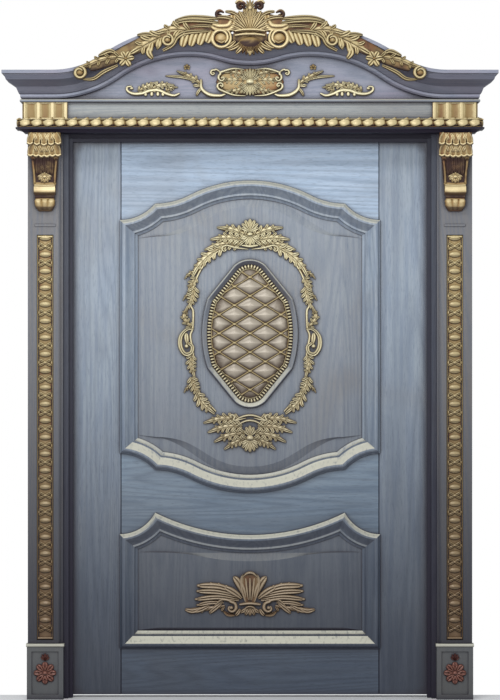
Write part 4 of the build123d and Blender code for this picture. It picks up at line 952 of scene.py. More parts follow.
@dataclass
class LowerOrnament(Carving):
    """The palmette with spreading sprays on the lower panel."""

    body: str = "leaf"
    rise: float = 15.0
    hanging: tuple[Line, ...] = (
        ((-104, 338), (-124, 322), (-148, 302)),
        ((-146, 330), (-176, 316), (-204, 306)),
        ((-176, 322), (-206, 310), (-236, 316)),
    )
    strands: tuple[Strand, ...] = (
        Strand(((-40, 372), (-108, 398), (-184, 402)), 12.5, 0.9),
        Strand(((-40, 362), (-112, 378), (-186, 382)), 11, 0.95),
        Strand(((-40, 350), (-116, 360), (-192, 353)), 10.5, 1.05),
        Strand(((-96, 342), (-150, 340), (-186, 332)), 9, 0.85),
    )

    def carve(self, cut: Relief) -> None:
        """Carves the sprays, the palmette, its scrolls and the pendant."""
        cut.leaf([(-92, 328), (-160, 318), (-222, 315)], 20, 3, 0.8, (1,))
        for spine in self.hanging:
            cut.stroke(spine, (9.5, 0.5, 0.1, 0.55), (0.85, 0.6, 0.6), Section.VEINED, 0.3)
        for strand in self.strands:
            tip, rise = strand.spine[-1], (strand.rise, 0.7, 0.7, 0.7)
            cut.stroke(strand.spine, (strand.half, 0.5, 0.35, 0.7), rise, Section.VEINED, 0.3)
            cut.knob((tip[0] - 2, tip[1]), (7, strand.half * 0.5), strand.rise * 0.9, 4)
        for root in ((-82, 388), (-110, 396), (-138, 398)):
            cut.finger(root, 110, 18, 8, 0.85, 20)
        cut.finger((-30, 356), 138, 76, 13, 0.95, 18, lift=1.0)
        cut.curl([(-128, 330), (-104, 351), (-78, 350)], (-68, 322), 22, 0.9, 95, -1, 7, 1.05)
        cut.stroke([(-98, 312), (-80, 298), (-54, 296)], (7, 0.3, 0.3), (0.8, 0.6, 0.6), Section.GOUGED)
        cut.finger((-18, 360), 104, 88, 15, 1, 30, lift=1.5)
        cut.finger((-36, 318), 250, 30, 8, 0.9, -30)
        cut.hands = (1,)
        shell = [(0, 344), (0, 392), (0, 446)]
        cut.stroke(shell, (36, 0.5, 0.55, 0.75), (1.1, 0.6, 0.9, 0.8), Section.HOLLOW, 0.3, 1.5)
        for x in (-12, 0, 12):
            rib = [(x * 0.5, 350), (x, 390), (x * 1.3, 430)]
            cut.stroke(rib, (5, 0.5, 0.5), (0.75, 0.7, 0.7), foot=0.3, lift=0.5)
        cut.arch([(-27, 434), (-12, 446), (0, 449)], (5.5, 0.6, 0.6), (1.15, 0.8, 0.8))
        cut.arch([(-38, 334), (0, 338)], (6.5, 0.7, 0.7), (1.2, 0.9, 0.9))
        cut.fan((0, 326), 34, 5, (212, 328), 0.95, crown=-0.25)
        cut.arch([(-22, 304), (-14, 322), (0, 327)], (4.5, 0.6, 0.6), (1, 0.8, 0.8))


@dataclass
class CrestShell(Carving):
    """The shell, its volutes and its finial over the pediment's dip."""

    rise: float = 22.0
    pendant: tuple[Line, ...] = (
        ((-34, 2352), (-50, 2336), (-78, 2324)),
        ((-26, 2340), (-36, 2326), (-50, 2312)),
        ((-52, 2356), (-74, 2338), (-96, 2334)),
    )

    def carve(self, cut: Relief) -> None:
        """Carves the two halves, then the shell, the bars, the pendant and the finial between them."""
        self.halves(cut)
        cut.hands = (1,)
        cut.bright = 0.3
        cut.arch([(-112, 2412), (-50, 2424), (0, 2430)], (34, 0.7, 0.7), (0.4, 1, 1), foot=0.6)
        cut.arch([(-60, 2376), (0, 2372)], (22, 0.9, 0.9), (0.3, 1, 1), foot=0.6)
        cut.bright = 1.0
        cut.fan((0, 2384), 92, 13, (14, 166), 0.85, crown=0.12, bend=16)
        cut.fan((0, 2424), 56, 7, (48, 132), 1, crown=0.15, lift=1)
        cut.fan((0, 2462), 44, 5, (62, 118), 1, bend=30, lift=1)
        cut.knob((0, 2472), (8, 12), 1.1, 6)
        for level in (2395, 2379):
            bar = [(-54, level - 4), (-27, level), (0, level + 1)]
            cut.arch(bar, (5.6, 0.8, 0.8), (1.15, 0.9, 0.9), foot=0.5)
        cut.bright = 0.3
        cut.fan((0, 2374), 70, 9, (222, 318), 0.85, crown=0.05)
        cut.bright = 0.12
        cut.knob((0, 2350), (42, 22), 0.95, 4)
        cut.bright = 1.0
        cut.fan((0, 2330), 27, 3, (240, 300), 0.95)

    def halves(self, cut: Relief) -> None:
        """Carves each half's volute, arm, curls and pendant leaves.

        Args:
            cut: What is being carved.
        """
        arm = [(-60, 2448), (-62, 2424), (-76, 2404), (-112, 2402), (-136, 2412)]
        cut.stroke(arm, (19, 0.6, 0.5), (0.7, 0.8, 0.7), Section.VEINED)
        cut.stroke(spiral((-104, 2366), 37, 1.3, 60, -1, 0.62), (7.5, 0.6, 0.6), (1, 0.7, 0.8))
        cut.bright = 0.6
        cut.knob((-103, 2366), (25, 20), 0.85, 5)
        cut.stroke([(-82, 2362), (-100, 2350), (-120, 2358)], (5, 0.4, 0.3), (0.95, 0.7, 0.7))
        cut.bright = 1.0
        cut.stroke([(-52, 2430), (-84, 2440), (-118, 2441)], (8, 0.6, 0.5), (0.95, 0.8, 0.8), Section.VEINED)
        cut.stroke([(-36, 2444), (-62, 2458), (-88, 2462)], (7, 0.6, 0.4), (0.8, 0.8, 0.7), Section.VEINED)
        cut.bright = 0.08
        cut.curl([(-92, 2458)], (-108, 2450), 14, 0.8, 80, 1, 7, 0.8)
        cut.curl([(-14, 2462), (-22, 2478)], (-33, 2480), 15, 0.9, 20, 1, 7.5, 0.85)
        cut.bright = 1.0
        cut.stroke([(-22, 2492), (-38, 2500), (-52, 2490)], (6, 0.5, 0.4), (0.85, 0.8, 0.7))
        for spine in self.pendant:
            cut.stroke(spine, (9, 0.5, 0.1), (0.8, 0.7, 0.6), Section.VEINED)


@dataclass
class CrestSpray(Carving):
    """The leaves that run down the cornice from the shell to a scroll."""

    rise: float = 18.0
    bed: Line = ((-108, 2404), (-200, 2404), (-300, 2378), (-400, 2338), (-480, 2296), (-570, 2258))
    strands: tuple[Strand, ...] = (
        Strand(((-110, 2436), (-170, 2440), (-222, 2440), (-268, 2430)), 9, 0.9),
        Strand(((-112, 2421), (-170, 2428), (-230, 2428), (-282, 2414)), 9.5, 1.0),
        Strand(((-112, 2406), (-170, 2410), (-222, 2406)), 7, 0.75),
        Strand(((-310, 2322), (-276, 2342), (-258, 2370), (-224, 2386), (-140, 2392)), 9.5, 1.05),
        Strand(((-334, 2374), (-366, 2380), (-402, 2378)), 9),
        Strand(((-322, 2368), (-322, 2344), (-332, 2326)), 9),
        Strand(((-352, 2340), (-360, 2314), (-346, 2292)), 12),
        Strand(((-476, 2312), (-500, 2320), (-540, 2304)), 9, 0.9),
        Strand(((-470, 2270), (-520, 2246), (-556, 2222), (-596, 2220)), 8, 0.85),
    )
    leaves: tuple[Sprig, ...] = (
        Sprig(((-464, 2300), (-530, 2290), (-584, 2268), (-620, 2256)), 24, 4, 0.9),
        Sprig(((-318, 2372), (-362, 2350), (-418, 2316)), 40, 3, 0.95),
        Sprig(((-216, 2394), (-272, 2398), (-330, 2384)), 34, 3, 0.9),
    )
    teeth: Line = ((-150, 2350), (-178, 2342), (-208, 2338), (-238, 2336))
    flower: Point = (-442, 2292)
    petals: tuple[int, ...] = (10, 62, 118, 170, 230, 300)

    def carve(self, cut: Relief) -> None:
        """Carves the bed, the leaves, the strands, the hanging teeth, the scrolls and the flower."""
        cut.bright = 0.3
        cut.stroke(self.bed, (27, 0.8, 0.3, 0.3), (0.4, 0.9, 0.6, 0.3), foot=0.2)
        cut.bright = 1.0
        for sprig in self.leaves:
            cut.leaf(sprig.spine, sprig.reach, sprig.pairs, sprig.rise)
        for strand in self.strands:
            cut.stroke(strand.spine, (strand.half, 0.6, 0.15, 0.45), (strand.rise, 0.7, 0.6), Section.VEINED)
        for x, foot in self.teeth:
            tooth = [(x + 16, 2392), (x + 5, 2366), (x - 3, foot)]
            cut.stroke(tooth, (16.5, 0.7, 0.45), (0.85, 0.6, 0.9), Section.VEINED)
        for eye, radius, bright in (((-294, 2359), 21, 0.6), ((-606, 2243), 22, 0.45)):
            cut.stroke(spiral(eye, radius, 1.15, 90, -1, 0.55), (6.5, 0.8, 0.6), (1.05, 0.9, 0.9))
            cut.bright = bright
            cut.knob(eye, (radius * 0.6, radius * 0.6), 0.95, 5)
            cut.bright = 1.0
        for turn in self.petals:
            cut.finger(self.flower, turn if self.side < 0 else 180 - turn, 31, 11, 1, rooted=0.3)
        cut.bright = 0.3
        cut.knob((self.flower[0], self.flower[1] + 1), (7, 7), 0.9, 4)


@dataclass
class TympanumCartouche(Carving):
    """The strapwork cartouche with its two branches."""

    rise: float = 16.0

    def carve(self, cut: Relief) -> None:
        """Carves the branches, the field's leaves and the rim's scrolls, then the bed and its flower."""
        branch = [(-176, 2219), (-172, 2191), (-146, 2171), (-108, 2167), (-88, 2173)]
        cut.stroke(branch, (7.5, 0.4, 0.4), (0.9, 0.7, 0.7))
        cut.stroke([(-172, 2197), (-184, 2183), (-192, 2167)], (6, 0.5, 0.2), (0.7, 0.6, 0.5), Section.VEINED)
        cut.finger((-174, 2205), 190, 30, 6.5, 0.7, -20)
        cut.curl([(-100, 2247), (-120, 2261)], (-132, 2249), 11, 0.9, 60, 1, 4.5, 0.8)
        cut.leaf([(-174, 2209), (-206, 2231), (-258, 2255)], 17, 4, 0.8)
        cut.stroke([(-190, 2217), (-238, 2233), (-304, 2239)], (5.5, 0.5, 0.1), (0.6, 0.7, 0.5), Section.VEINED)
        cut.fan((-226, 2267), 14, 5, (-10, 190), 0.5, section=Section.GOUGED)
        cut.leaf([(-20, 2219), (-62, 2225), (-108, 2219)], 20, 4, 0.85)
        cut.leaf([(-10, 2231), (-46, 2249), (-92, 2253)], 18, 4, 0.9)
        cut.leaf([(-10, 2203), (-46, 2187), (-88, 2183)], 18, 4, 0.9)
        cut.curl([(-20, 2261), (-60, 2264), (-104, 2251)], (-100, 2231), 15, 0.9, 110, 1, 5, 1)
        cut.curl([(-16, 2167), (-60, 2170), (-104, 2187)], (-104, 2203), 14, 0.9, 240, -1, 5, 1)
        cut.hands = (1,)
        cut.bright = 0.7
        cut.knob((0, 2217), (122, 48), 0.5, 1)
        cut.bright = 1.0
        cut.fan((0, 2219), 48, 9, (30, 150), 1, crown=0.15)
        cut.fan((0, 2215), 50, 9, (210, 330), 1, crown=0.15)
        cut.knob((0, 2217), (15, 12), 1.2, 5)


@dataclass
class TympanumSprig(Carving):
    """The outer sprig of the tympanum: a leaf cluster over a scrolled line."""

    rise: float = 11.0
    scroll: Line = (
        (-424, 2201), (-440, 2198), (-438, 2184), (-416, 2174), (-386, 2176), (-356, 2186), (-326, 2186),
        (-298, 2174), (-272, 2168), (-252, 2176),
    )

    def carve(self, cut: Relief) -> None:
        """Carves the scrolled line, the leaves on it and its teeth."""
        cut.stroke(self.scroll, (7, 0.5, 0.4), (0.95, 0.8, 0.7))
        cut.knob((-424, 2194), (6, 6), 0.9, 3)
        cut.leaf([(-400, 2184), (-366, 2202), (-334, 2216)], 17, 4, 1.05)
        cut.leaf([(-356, 2190), (-322, 2204), (-276, 2206)], 19, 4, 1.05)
        cut.leaf([(-300, 2182), (-282, 2196), (-262, 2198)], 13, 3, 0.9)
        for x in (-374, -352, -330, -312):
            cut.finger((x, 2184), -90, 19, 6, 0.9, section=Section.ROUND)


@dataclass
class Corbel(Carving):
    """A carved corbel: acanthus over a tapering shaft, a cushion and a bulb. Its rises are millimetres."""

    hands: tuple[int, ...] = (1,)
    centre: float = 737.5
    top: float = 2036.0
    width: float = 115.0
    height: float = 280.0
    depth: float = 67.2
    tier_rise: float = 11.2
    front: Line = (
        (0, 1.0), (0.05, 1.0), (0.13, 0.93), (0.22, 0.80), (0.33, 0.68), (0.36, 0.56), (0.5, 0.48), (0.62, 0.42),
        (0.655, 0.44), (0.69, 0.56), (0.77, 0.56), (0.8, 0.38), (0.84, 0.36), (0.88, 0.46), (0.95, 0.40),
        (1.0, 0.16),
    )
    waist: Line = (
        (0, 0.5), (0.1, 0.5), (0.22, 0.47), (0.345, 0.42), (0.655, 0.35), (0.66, 0.33), (0.79, 0.33), (0.8, 0.28),
        (0.84, 0.28), (0.86, 0.32), (0.93, 0.31), (1.0, 0.2),
    )
    corners: Line = ((-1, 1), (-1, 0.12), (-0.94, 0.03), (-0.75, 0.01), (-0.5, 0), (-0.25, 0), (0, 0), (0.25, 0),
                     (0.5, 0), (0.75, 0.01), (0.94, 0.03), (1, 0.12), (1, 1))

    def board(self) -> Board:
        """The corbel's swelling front."""
        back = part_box(self.node)[1].y / MM
        return Board(lambda z: back - self.depth * np.interp((self.top - z) / self.height, *zip(*self.front)),
                     (self.side * self.centre, 0))

    def core(self, cut: Relief) -> None:
        """Carves the body that the ornament stands on.

        Args:
            cut: What is being carved.
        """
        drop = np.linspace(0, 1, 90)
        u, fall = np.array(self.corners).T
        half = self.width * np.interp(drop, *zip(*self.waist))[:, None] * u
        rise = -self.depth * np.interp(drop, *zip(*self.front))[:, None] * fall
        rings = np.stack([half, np.repeat(self.top - self.height * drop[:, None], len(u), 1)], axis=-1)
        shaft = ((drop > 0.34) & (drop < 0.64))[:, None]
        cut.skin(rings, rise, np.where(shaft, 0.08, np.clip(1 + rise / 40, 0, 1) * 0.6))

    def tier(self, cut: Relief, top: float, length: float, spots: Sequence[float], rise: float) -> None:
        """Carves one tier of overlapping acanthus lobes.

        Args:
            cut: What is being carved.
            top: The height that it hangs from.
            length: How far its middle lobe hangs down.
            spots: Where each lobe stands, across.
            rise: How far it stands out.
        """
        for x in sorted(spots, key=abs, reverse=True):
            drop, turn = length * (1 - 0.1 * abs(x) / 50), 1 if x > 0 else -1
            root, tip, low = (x * 0.8, top), x * 1.05, top - drop
            cut.stroke([root, (x, top - drop * 0.55), (tip, low)], (13, 0.8, 0.7), (rise * 0.85, 0.7, 0.9),
                       Section.GOUGED)
            cut.finger(root, -90 - 34 * turn, drop * 0.8, 7, rise * 0.8, 20 * turn)
            lip = [(tip - 11, low + 3), (tip, low - 3), (tip + 11, low + 3)]
            cut.stroke(lip, (5.5, 0.6, 0.6), (rise * 1.15, 0.8, 0.8))

    def carve(self, cut: Relief) -> None:
        """Carves the body, the two tiers of acanthus, the shaft's leaves, the cushion and the bulb."""
        self.core(cut)
        cut.bright = 1.15
        self.tier(cut, 1994, 42, (-47, -28, -9, 9, 28, 47), self.tier_rise)
        self.tier(cut, 2033, 40, (-48, -24, 0, 24, 48), self.tier_rise * 1.1)
        cut.bright = 0.35
        for side in (-1, 1):
            cut.stroke([(side * 43, 1940), (side * 38, 1896), (side * 36, 1858)], (4.5, 1, 1), (6, 1, 1))
        cut.bright = 0.16
        for x in (-26, -13, 0, 13, 26):
            cut.finger((x, 1948), -90, 64, 8, 7.5, rooted=0.8)
        cut.fan((0, 1920), 26, 5, (215, 325), 9)
        cut.bright = 1.0
        cut.fan((0, 1886), 30, 7, (196, 344), 9, crown=0.1)
        cut.fan((0, 1876), 20, 5, (30, 150), 9)
        cut.knob((0, 1878), (8, 7), 12, 4)
        cut.arch([(-38, 1834), (0, 1833)], (17, 0.95, 0.95), (7, 0.95, 0.95), foot=0.3)
        cut.arch([(-36, 1849), (0, 1848)], (3.5, 1, 1), (9, 1, 1))
        cut.bright = 0.15
        cut.arch([(-35, 1808), (0, 1808)], (5.5, 1, 1), (4, 1, 1))
        cut.bright = 0.85
        for x in (-24, 24, 0):
            cut.stroke([(x, 1799), (x * 0.9, 1780), (x * 0.6, 1761)], (14, 0.8, 0.3), (7, 0.8, 0.7))


@dataclass
class PlinthRosette(Carving):
    """The rosette on a plinth, under a small leaf."""

    hands: tuple[int, ...] = (1,)
    slot: str = "copper_gilding"
    centre: float = 737.5
    middle: float = 94.5
    radius: float = 41.0
    rise: float = 12.0
    petals: int = 8

    def carve(self, cut: Relief) -> None:
        """Carves two rounds of petals, the button and the leaf."""
        cut.board.origin = (self.side * self.centre, self.middle)
        for radius, height, shift in ((self.radius, 0.75, 0), (self.radius * 0.72, 1.0, 0.5)):
            for k in range(self.petals):
                aim = 360 * (k + shift) / self.petals
                root = (4 * math.cos(math.radians(aim)), 4 * math.sin(math.radians(aim)))
                cut.finger(root, aim, radius - 4, radius * 0.3, height, rooted=0.3)
        cut.knob((0, 0), (9, 9), 1.15, 5)
        cut.fan((0, self.radius + 4), 26, 5, (40, 140), 0.6, section=Section.GOUGED)


@dataclass
class HuskStrip(Carving):
    """The gilt strip of coins and crossed leaves in a pilaster's channel."""

    hands: tuple[int, ...] = (1,)
    centre: float = 737.5
    foot: float = 214.0
    head: float = 1670.0
    pitch: float = 60.0
    collar: float = 10.0
    rise: float = 9.5
    ground: float = 1.4

    def carve(self, cut: Relief) -> None:
        """Carves the crosses, the coins, the edge fillets, the collars and the ground."""
        cut.board.origin = (self.side * self.centre, 0)
        cut.across = 7
        length = self.head - self.foot - 2 * self.collar
        count = round(length / self.pitch)
        step = length / count
        for k in range(count):
            z = self.foot + self.collar + (k + 0.5) * step
            for turn, side in ((-1, -1), (-1, 1), (1, -1), (1, 1)):
                arm = [(0, z), (side * 11, z + turn * 6), (side * 23, z + turn * 12)]
                cut.stroke(arm, (6.4, 0.6, 0.4, 0.6), (0.9, 0.9, 0.7), Section.VEINED, 0.3, spacing=4.0)
            cut.knob((0, z), (7.5, 6.0), 1.05, 3)
            for side in (-1, 1):
                dart = [(side * 21, z - 8), (side * 23, z), (side * 21, z + 8)]
                cut.stroke(dart, (3.2, 0.4, 0.4), (0.6, 0.7, 0.7), foot=0.3, spacing=4.0)
            cut.knob((0, z + step / 2), (22, 11), 1, 3)
            cut.stroke([(-15, z + step / 2), (15, z + step / 2)], (4.5, 0.5, 0.5), (1.15, 0.9, 0.9))
        for x in (-27.5, 27.5):
            cut.stroke([(x, self.foot), (x, self.head)], (1.8, 1, 1), (0.55, 1, 1), foot=0.4, spacing=40.0)
        for z in (self.head - 5, self.foot + 5):
            cut.stroke([(-26, z), (26, z)], (5, 1, 1), (0.9, 1, 1), foot=0.3, spacing=8.0)
        bed = [(0, self.foot + 4), (0, self.head - 4)]
        cut.stroke(bed, (24, 1, 1), (self.ground / self.rise, 1, 1), foot=0.95, spacing=60.0)


@dataclass
class RopeMoulding(Carving):
    """The gadrooned moulding round the header's front and ends."""

    hands: tuple[int, ...] = (1,)
    half: float = 838.0
    low: float = 2054.0
    high: float = 2084.0
    pitch: float = 42.0
    rise: float = 15.0

    def run(self, cut: Relief, start: float, end: float) -> None:
        """Carves one straight run of lobes.

        Args:
            cut: What is being carved.
            start: Where the run starts along the board.
            end: Where it ends.
        """
        count = max(1, round((end - start) / self.pitch))
        step = (end - start) / count
        low, high = self.low, self.high
        for k in range(count):
            x = start + (k + 0.5) * step
            lobe = [(x - 6, high - 3), (x, (low + high) / 2), (x + 5, low + 4)]
            cut.stroke(lobe, (step * 0.53, 1.0, 0.66, 0.3), (0.9, 0.85, 0.8), foot=0.3)
            cut.bright = 0.08
            cut.stroke([(x + step * 0.36, low + 3), (x + step * 0.5, low + 13)], (4.5, 0.6, 0.4), (0.7, 0.8, 0.6))
            cut.bright = 1.0
        for z, half, rise, bright in ((high - 1.6, 2.2, 0.9, 1.0), (low + 1.6, 1.9, 0.6, 0.3)):
            cut.bright = bright
            cut.stroke([(start, z), (end, z)], (half, 1, 1), (rise, 1, 1), foot=0.5, spacing=30.0)
        cut.bright = 1.0

    def carve(self, cut: Relief) -> None:
        """Carves the core, the front run and the two returns."""
        low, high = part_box(self.node)
        front, back = low.y / MM, high.y / MM
        cut.board = Board(front + self.rise)
        half = self.half - self.rise + 3
        levels = (self.low, self.low + 3, self.high - 3, self.high)
        rings = np.array([[(x, z) for z in (*levels, *levels[::-1])] for x in (-half, half)])
        rise = np.array([[0, 4, 4, 0, *[front + self.rise - back] * 4]] * 2)
        cut.skin(rings, rise, np.full(rise.shape, 0.15))
        self.run(cut, -half, half)
        for side in (-1, 1):
            cut.board = Board(self.half - self.rise, turn=side)
            self.run(cut, front + 8, back - 2)


@dataclass
class FluteBlock(Carving):
    """A fluted block of the frieze, with its return."""

    hands: tuple[int, ...] = (1,)
    inner: float = 654.0
    outer: float = 816.0
    low: float = 2084.0
    high: float = 2144.0
    rise: float = 5.0
    flutes: Line = ((668.0, 701.0), (716.0, 751.0), (766.0, 803.0))
    end_flutes: Line = ((14.0, 42.0), (56.0, 84.0))

    def run(self, cut: Relief, edges: Point, flutes: Line) -> None:
        """Carves one face: upright fillets, the flutes between them and the bands over and under.

        Args:
            cut: What is being carved.
            edges: Where the face starts and ends along the board.
            flutes: Where each flute starts and ends.
        """
        stops = [edges[0], *(x for flute in flutes for x in flute), edges[1]]
        for start, end in zip(stops[::2], stops[1::2]):
            x, half = (start + end) / 2, (end - start) / 2
            cut.stroke([(x, self.low), (x, self.high)], (half, 1, 1), (1, 1, 1), foot=0.8, spacing=12.0)
        for start, end in flutes:
            x, half = (start + end) / 2, (end - start) / 2
            cut.stroke([(x, self.low + 3), (x, self.high - 3)], (half, 1, 1), (0.8, 1, 1), Section.HOLLOW, 0.05,
                       spacing=12.0, shade=0.7)
        for z in (self.low + 2.5, self.high - 2.5):
            cut.stroke([(edges[0], z), (edges[1], z)], (2.7, 1, 1), (0.9, 1, 1), foot=0.8, spacing=20.0)

    def carve(self, cut: Relief) -> None:
        """Carves the block's body, its front and its return."""
        low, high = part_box(self.node)
        front, back = low.y / MM + self.rise, high.y / MM
        cut.board = Board(front)
        spans = sorted((self.side * self.inner, self.side * (self.outer - self.rise)))
        rings = np.array([[(x, z) for z in (self.low, self.high, self.high, self.low)] for x in spans])
        rise = np.array([[0, 0, front - back, front - back]] * 2)
        cut.skin(rings, rise, np.full(rise.shape, 0.3))
        self.run(cut, spans, sorted(sorted((self.side * a, self.side * b)) for a, b in self.flutes))
        cut.board = Board(self.outer - self.rise, turn=self.side)
        self.run(cut, (front, back - 1), [(front + a, front + b) for a, b in self.end_flutes])


@dataclass
class Joinery:
    """The oak nodes, each a board of the finish along its own grain."""

    # the pilasters take an even share of the same dark colour all over
    pilaster: ClassVar[Shades] = {"depth": 0.27, "tint": 0.85}
    plinth: ClassVar[Shades] = {"limed": 0.08, "tint": 0.5}
    lilac: ClassVar[Shades] = {"umber": (0.56, 0.53, 0.60), "tint": 0.5}
    # painted shade: near black all over, for the head jamb and the soffit
    night: ClassVar[Shades] = {"shade_colour": (0.10, 0.075, 0.13), "depth": 0.97}
    upright: ClassVar[dict[str, Shades]] = {
        "stile_hinge_side": {}, "stile_lock_side": {},
        "upper_panel": {"top_highlight": 0.15, "tint": 0.4}, "lower_panel": {"top_highlight": 0.15, "tint": 0.35},
        "pilaster_left": pilaster, "pilaster_right": pilaster, "plinth_left": plinth, "plinth_right": plinth,
        # jambs and stops: painted shade all over
        "jamb_hinge_side": {"depth": 0.8}, "jamb_lock_side": {"depth": 0.8},
        "stop_hinge_side": {"depth": 0.9}, "stop_lock_side": {"depth": 0.9},
        "upper_panel_moulding": {}, "lower_panel_moulding": {},
        "upper_panel_moulding_back": {}, "lower_panel_moulding_back": {},
    }
    level: ClassVar[dict[str, Shades]] = {
        # the top rail is painted lighter and bluer to offset the header's shadow on it
        "top_rail": {"pale": (0.73, 0.80, 0.88), "body": (0.66, 0.745, 0.84)},
        "middle_rail": {"pale": (0.655, 0.735, 0.80), "body": (0.56, 0.65, 0.735)},
        "bottom_rail": {"pale": (0.72, 0.80, 0.86), "body": (0.64, 0.725, 0.80)},
        "jamb_head": night,
        # head stop and bed moulding: painted shade nearly all over
        "stop_head": {"depth": 0.95},
        "header_soffit": night | {"under": 0.95},
        "bed_moulding": {"depth": 0.96, "under": 0.95},
        "frieze_box": {"pale": (0.76, 0.78, 0.77), "body": (0.70, 0.725, 0.72), "tint": 0.3},
        "frieze_cap": {"tint": 0.5, "under": 0.8},
        "tympanum_board": lilac | {"top_highlight": 0.4},
        "cornice": lilac | {"top_highlight": 0.7, "under": 0.7},
    }
    seed_step: float = 0.83

    def build(self) -> None:
        """Gives each oak node its own board of the finish."""
        boards = [(Grain.UPRIGHT, *board) for board in self.upright.items()]
        boards += [(Grain.LEVEL, *board) for board in self.level.items()]
        for index, (grain, node, shades) in enumerate(boards):
            dress(node, OakFinish(f"oak_{node}", grain, self.seed_step * index, **shades).build())
        # painted highlight: the plinth caps are pale lime all over for the light along their top edge
        lime_and_highlight = OakFinish("oak_limed", Grain.LEVEL, 4.1, 0.7).build()
        for side in ("left", "right"):
            dress(f"plinth_cap_{side}", lime_and_highlight)


@dataclass
class Hardware:
    """The brass hinges and their screws."""

    brass: bpy.types.Material

    def build(self) -> None:
        """Gives the hinges their brass."""
        for kind in ("door", "frame"):
            for part in ("plate_bottom", "plate_middle", "plate_top", "screws"):
                dress(f"hinge_{kind}_{part}", self.brass)
        dress("hinge_pins", self.brass)


def dress(node: str, material: bpy.types.Material) -> None:
    """Gives a CAD node a material.

    Args:
        node: The node's name.
        material: The material that all its faces take.
    """
    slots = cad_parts[node].data.materials
    slots.clear()
    slots.append(material)
    log.info("%s: %s", node, material.name)


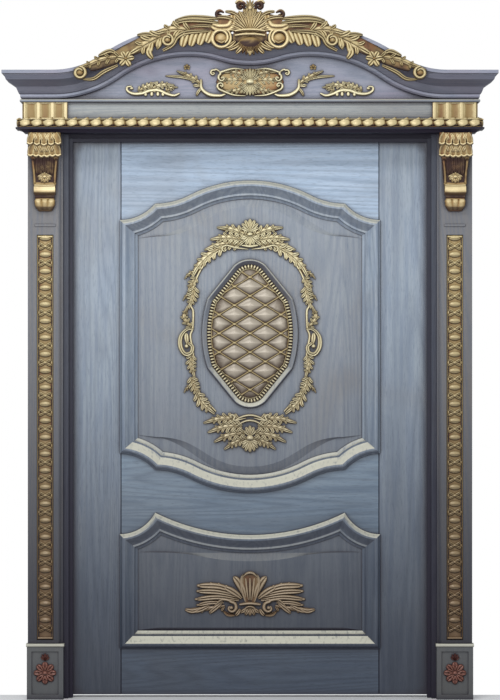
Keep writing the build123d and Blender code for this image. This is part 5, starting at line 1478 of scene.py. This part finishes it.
@dataclass
class Studio:
    """Camera, lights and floor."""

    distance: float = 12.0
    height: float = 1.257
    view_height: float = 2.52
    sky: float = 0.52
    sky_colour: tuple[float, ...] = (0.93, 0.96, 1, 1)
    floor_half: float = 3.0
    floor_back: float = 0.16
    floor_drop: float = 0.001
    lights: tuple[tuple, ...] = (
        ("top_light", (-0.9, -3.2, 4.35), (0, 0, 1.7), (2.2, 0.6), 50.0),
        ("front_light", (-0.6, -4.2, 2.05), (0, 0, 1.5), (2.6, 1.2), 64.0),
        ("back_light", (0, 4.5, 3.6), (0, 0, 1.2), (3.0, 2.0), 24.0),
    )

    def light(self, name: str, spot: Sequence[float], aim: Sequence[float], size: Point, power: float) -> None:
        """Adds a soft light.

        Args:
            name: Its name.
            spot: Where it hangs.
            aim: What it points at.
            size: Its width and height.
            power: Its power in watts.
        """
        data = bpy.data.lights.new(name, "AREA")
        data.shape = "RECTANGLE"
        data.size, data.size_y = size
        data.energy = power
        lamp = put(name, data)
        lamp.location = spot
        lamp.rotation_euler = (Vector(aim) - Vector(spot)).to_track_quat("-Z", "Y").to_euler()

    def camera(self) -> None:
        """Sets the camera square on to the door."""
        data = bpy.data.cameras.new("camera")
        data.lens = data.sensor_width * self.distance / self.view_height
        camera = put("camera", data)
        camera.location = (0, -self.distance, self.height)
        camera.rotation_euler = (math.pi / 2, 0, 0)
        bpy.context.scene.camera = camera

    def surroundings(self) -> None:
        """Sets dim light from all round, seen as white."""
        world = bpy.data.worlds.new("surroundings")
        world.use_nodes = True
        tree = world.node_tree
        tree.nodes.clear()
        seen, plain, dim, blend, out = (tree.nodes.new("ShaderNode" + kind) for kind in (
            "LightPath", "Background", "Background", "MixShader", "OutputWorld",
        ))
        plain.inputs["Color"].default_value = (1, 1, 1, 1)
        dim.inputs["Color"].default_value = self.sky_colour
        dim.inputs["Strength"].default_value = self.sky
        tree.links.new(seen.outputs["Is Camera Ray"], blend.inputs[0])
        tree.links.new(dim.outputs[0], blend.inputs[1])
        tree.links.new(plain.outputs[0], blend.inputs[2])
        tree.links.new(blend.outputs[0], out.inputs["Surface"])
        bpy.context.scene.world = world

    def floor(self) -> None:
        """Adds the pale floor."""
        half, back, low = self.floor_half, self.floor_back, -self.floor_drop
        data = bpy.data.meshes.new("floor")
        data.from_pydata([(-half, -half, low), (half, -half, low), (half, back, low), (-half, back, low)], [],
                         [(0, 1, 2, 3)])
        ground = put("floor", data)
        graph = Graph("floor_paint")
        graph.tone = graph.mix(graph.noise(graph.spot, 3.0, 3.0), (0.84, 0.84, 0.84, 1), (0.88, 0.88, 0.88, 1))
        data.materials.append(graph.surface(Roughness=0.8))

    def build(self) -> None:
        """Sets the camera, the lights, the white surroundings and the floor."""
        bpy.context.scene.view_settings.view_transform = "Standard"
        self.camera()
        for light in self.lights:
            self.light(*light)
        self.surroundings()
        self.floor()


def main() -> None:
    """Builds every sub-assembly in order."""
    logging.basicConfig(level=logging.INFO, format="%(message)s")
    gilt = GiltFinish("antique_gilding").build()
    copper = GiltFinish("copper_gilding", (0.80, 0.58, 0.48), (0.56, 0.34, 0.29), (0.45, 0.24, 0.22),
                        (0.15, 0.09, 0.10)).build()
    cushion = GiltFinish("silver_lilac_cushions", (0.71, 0.67, 0.60), (0.45, 0.40, 0.34), (0.44, 0.36, 0.28),
                         (0.19, 0.115, 0.10), metal=0.1, deep=0.012).build()
    old_gilt = GiltFinish("old_gilding", (0.83, 0.76, 0.57), (0.62, 0.52, 0.33), (0.52, 0.36, 0.22),
                          (0.18, 0.105, 0.09)).build()
    crown_gilt = GiltFinish("crown_gilding", (0.93, 0.85, 0.65), (0.68, 0.57, 0.37), (0.58, 0.41, 0.26),
                            (0.22, 0.13, 0.11)).build()
    # the ring takes painted highlight on its upward slopes and painted shade on its downward ones
    ring_oak = OakFinish("oak_medallion_ring", Grain.UPRIGHT, 14.1, under=0.8, tint=0.6).build()
    Joinery().build()
    Hardware(MetalFinish("hinge_brass").build()).build()
    Wreath("wreath_carving", gilt).build()
    Medallion(gilt, old_gilt, cushion, ring_oak).build()
    LowerOrnament("lower_panel_ornament", gilt).build()
    CrestShell("crest_shell", crown_gilt).build()
    TympanumCartouche("tympanum_cartouche", gilt).build()
    RopeMoulding("rope_moulding", old_gilt).build()
    for side, sign in (("left", -1), ("right", 1)):
        CrestSpray(f"crest_spray_{side}", old_gilt, side=sign, hands=(-sign,)).build()
        TympanumSprig(f"tympanum_sprig_{side}", gilt, side=sign, hands=(-sign,)).build()
        Corbel(f"corbel_{side}", crown_gilt, side=sign).build()
        FluteBlock(f"frieze_block_{side}", old_gilt, side=sign).build()
        PlinthRosette(f"plinth_rosette_{side}", copper, side=sign).build()
        HuskStrip(f"pilaster_carving_{side}", old_gilt, side=sign).build()
    Studio().build()


if __name__ == "__main__":
    main()
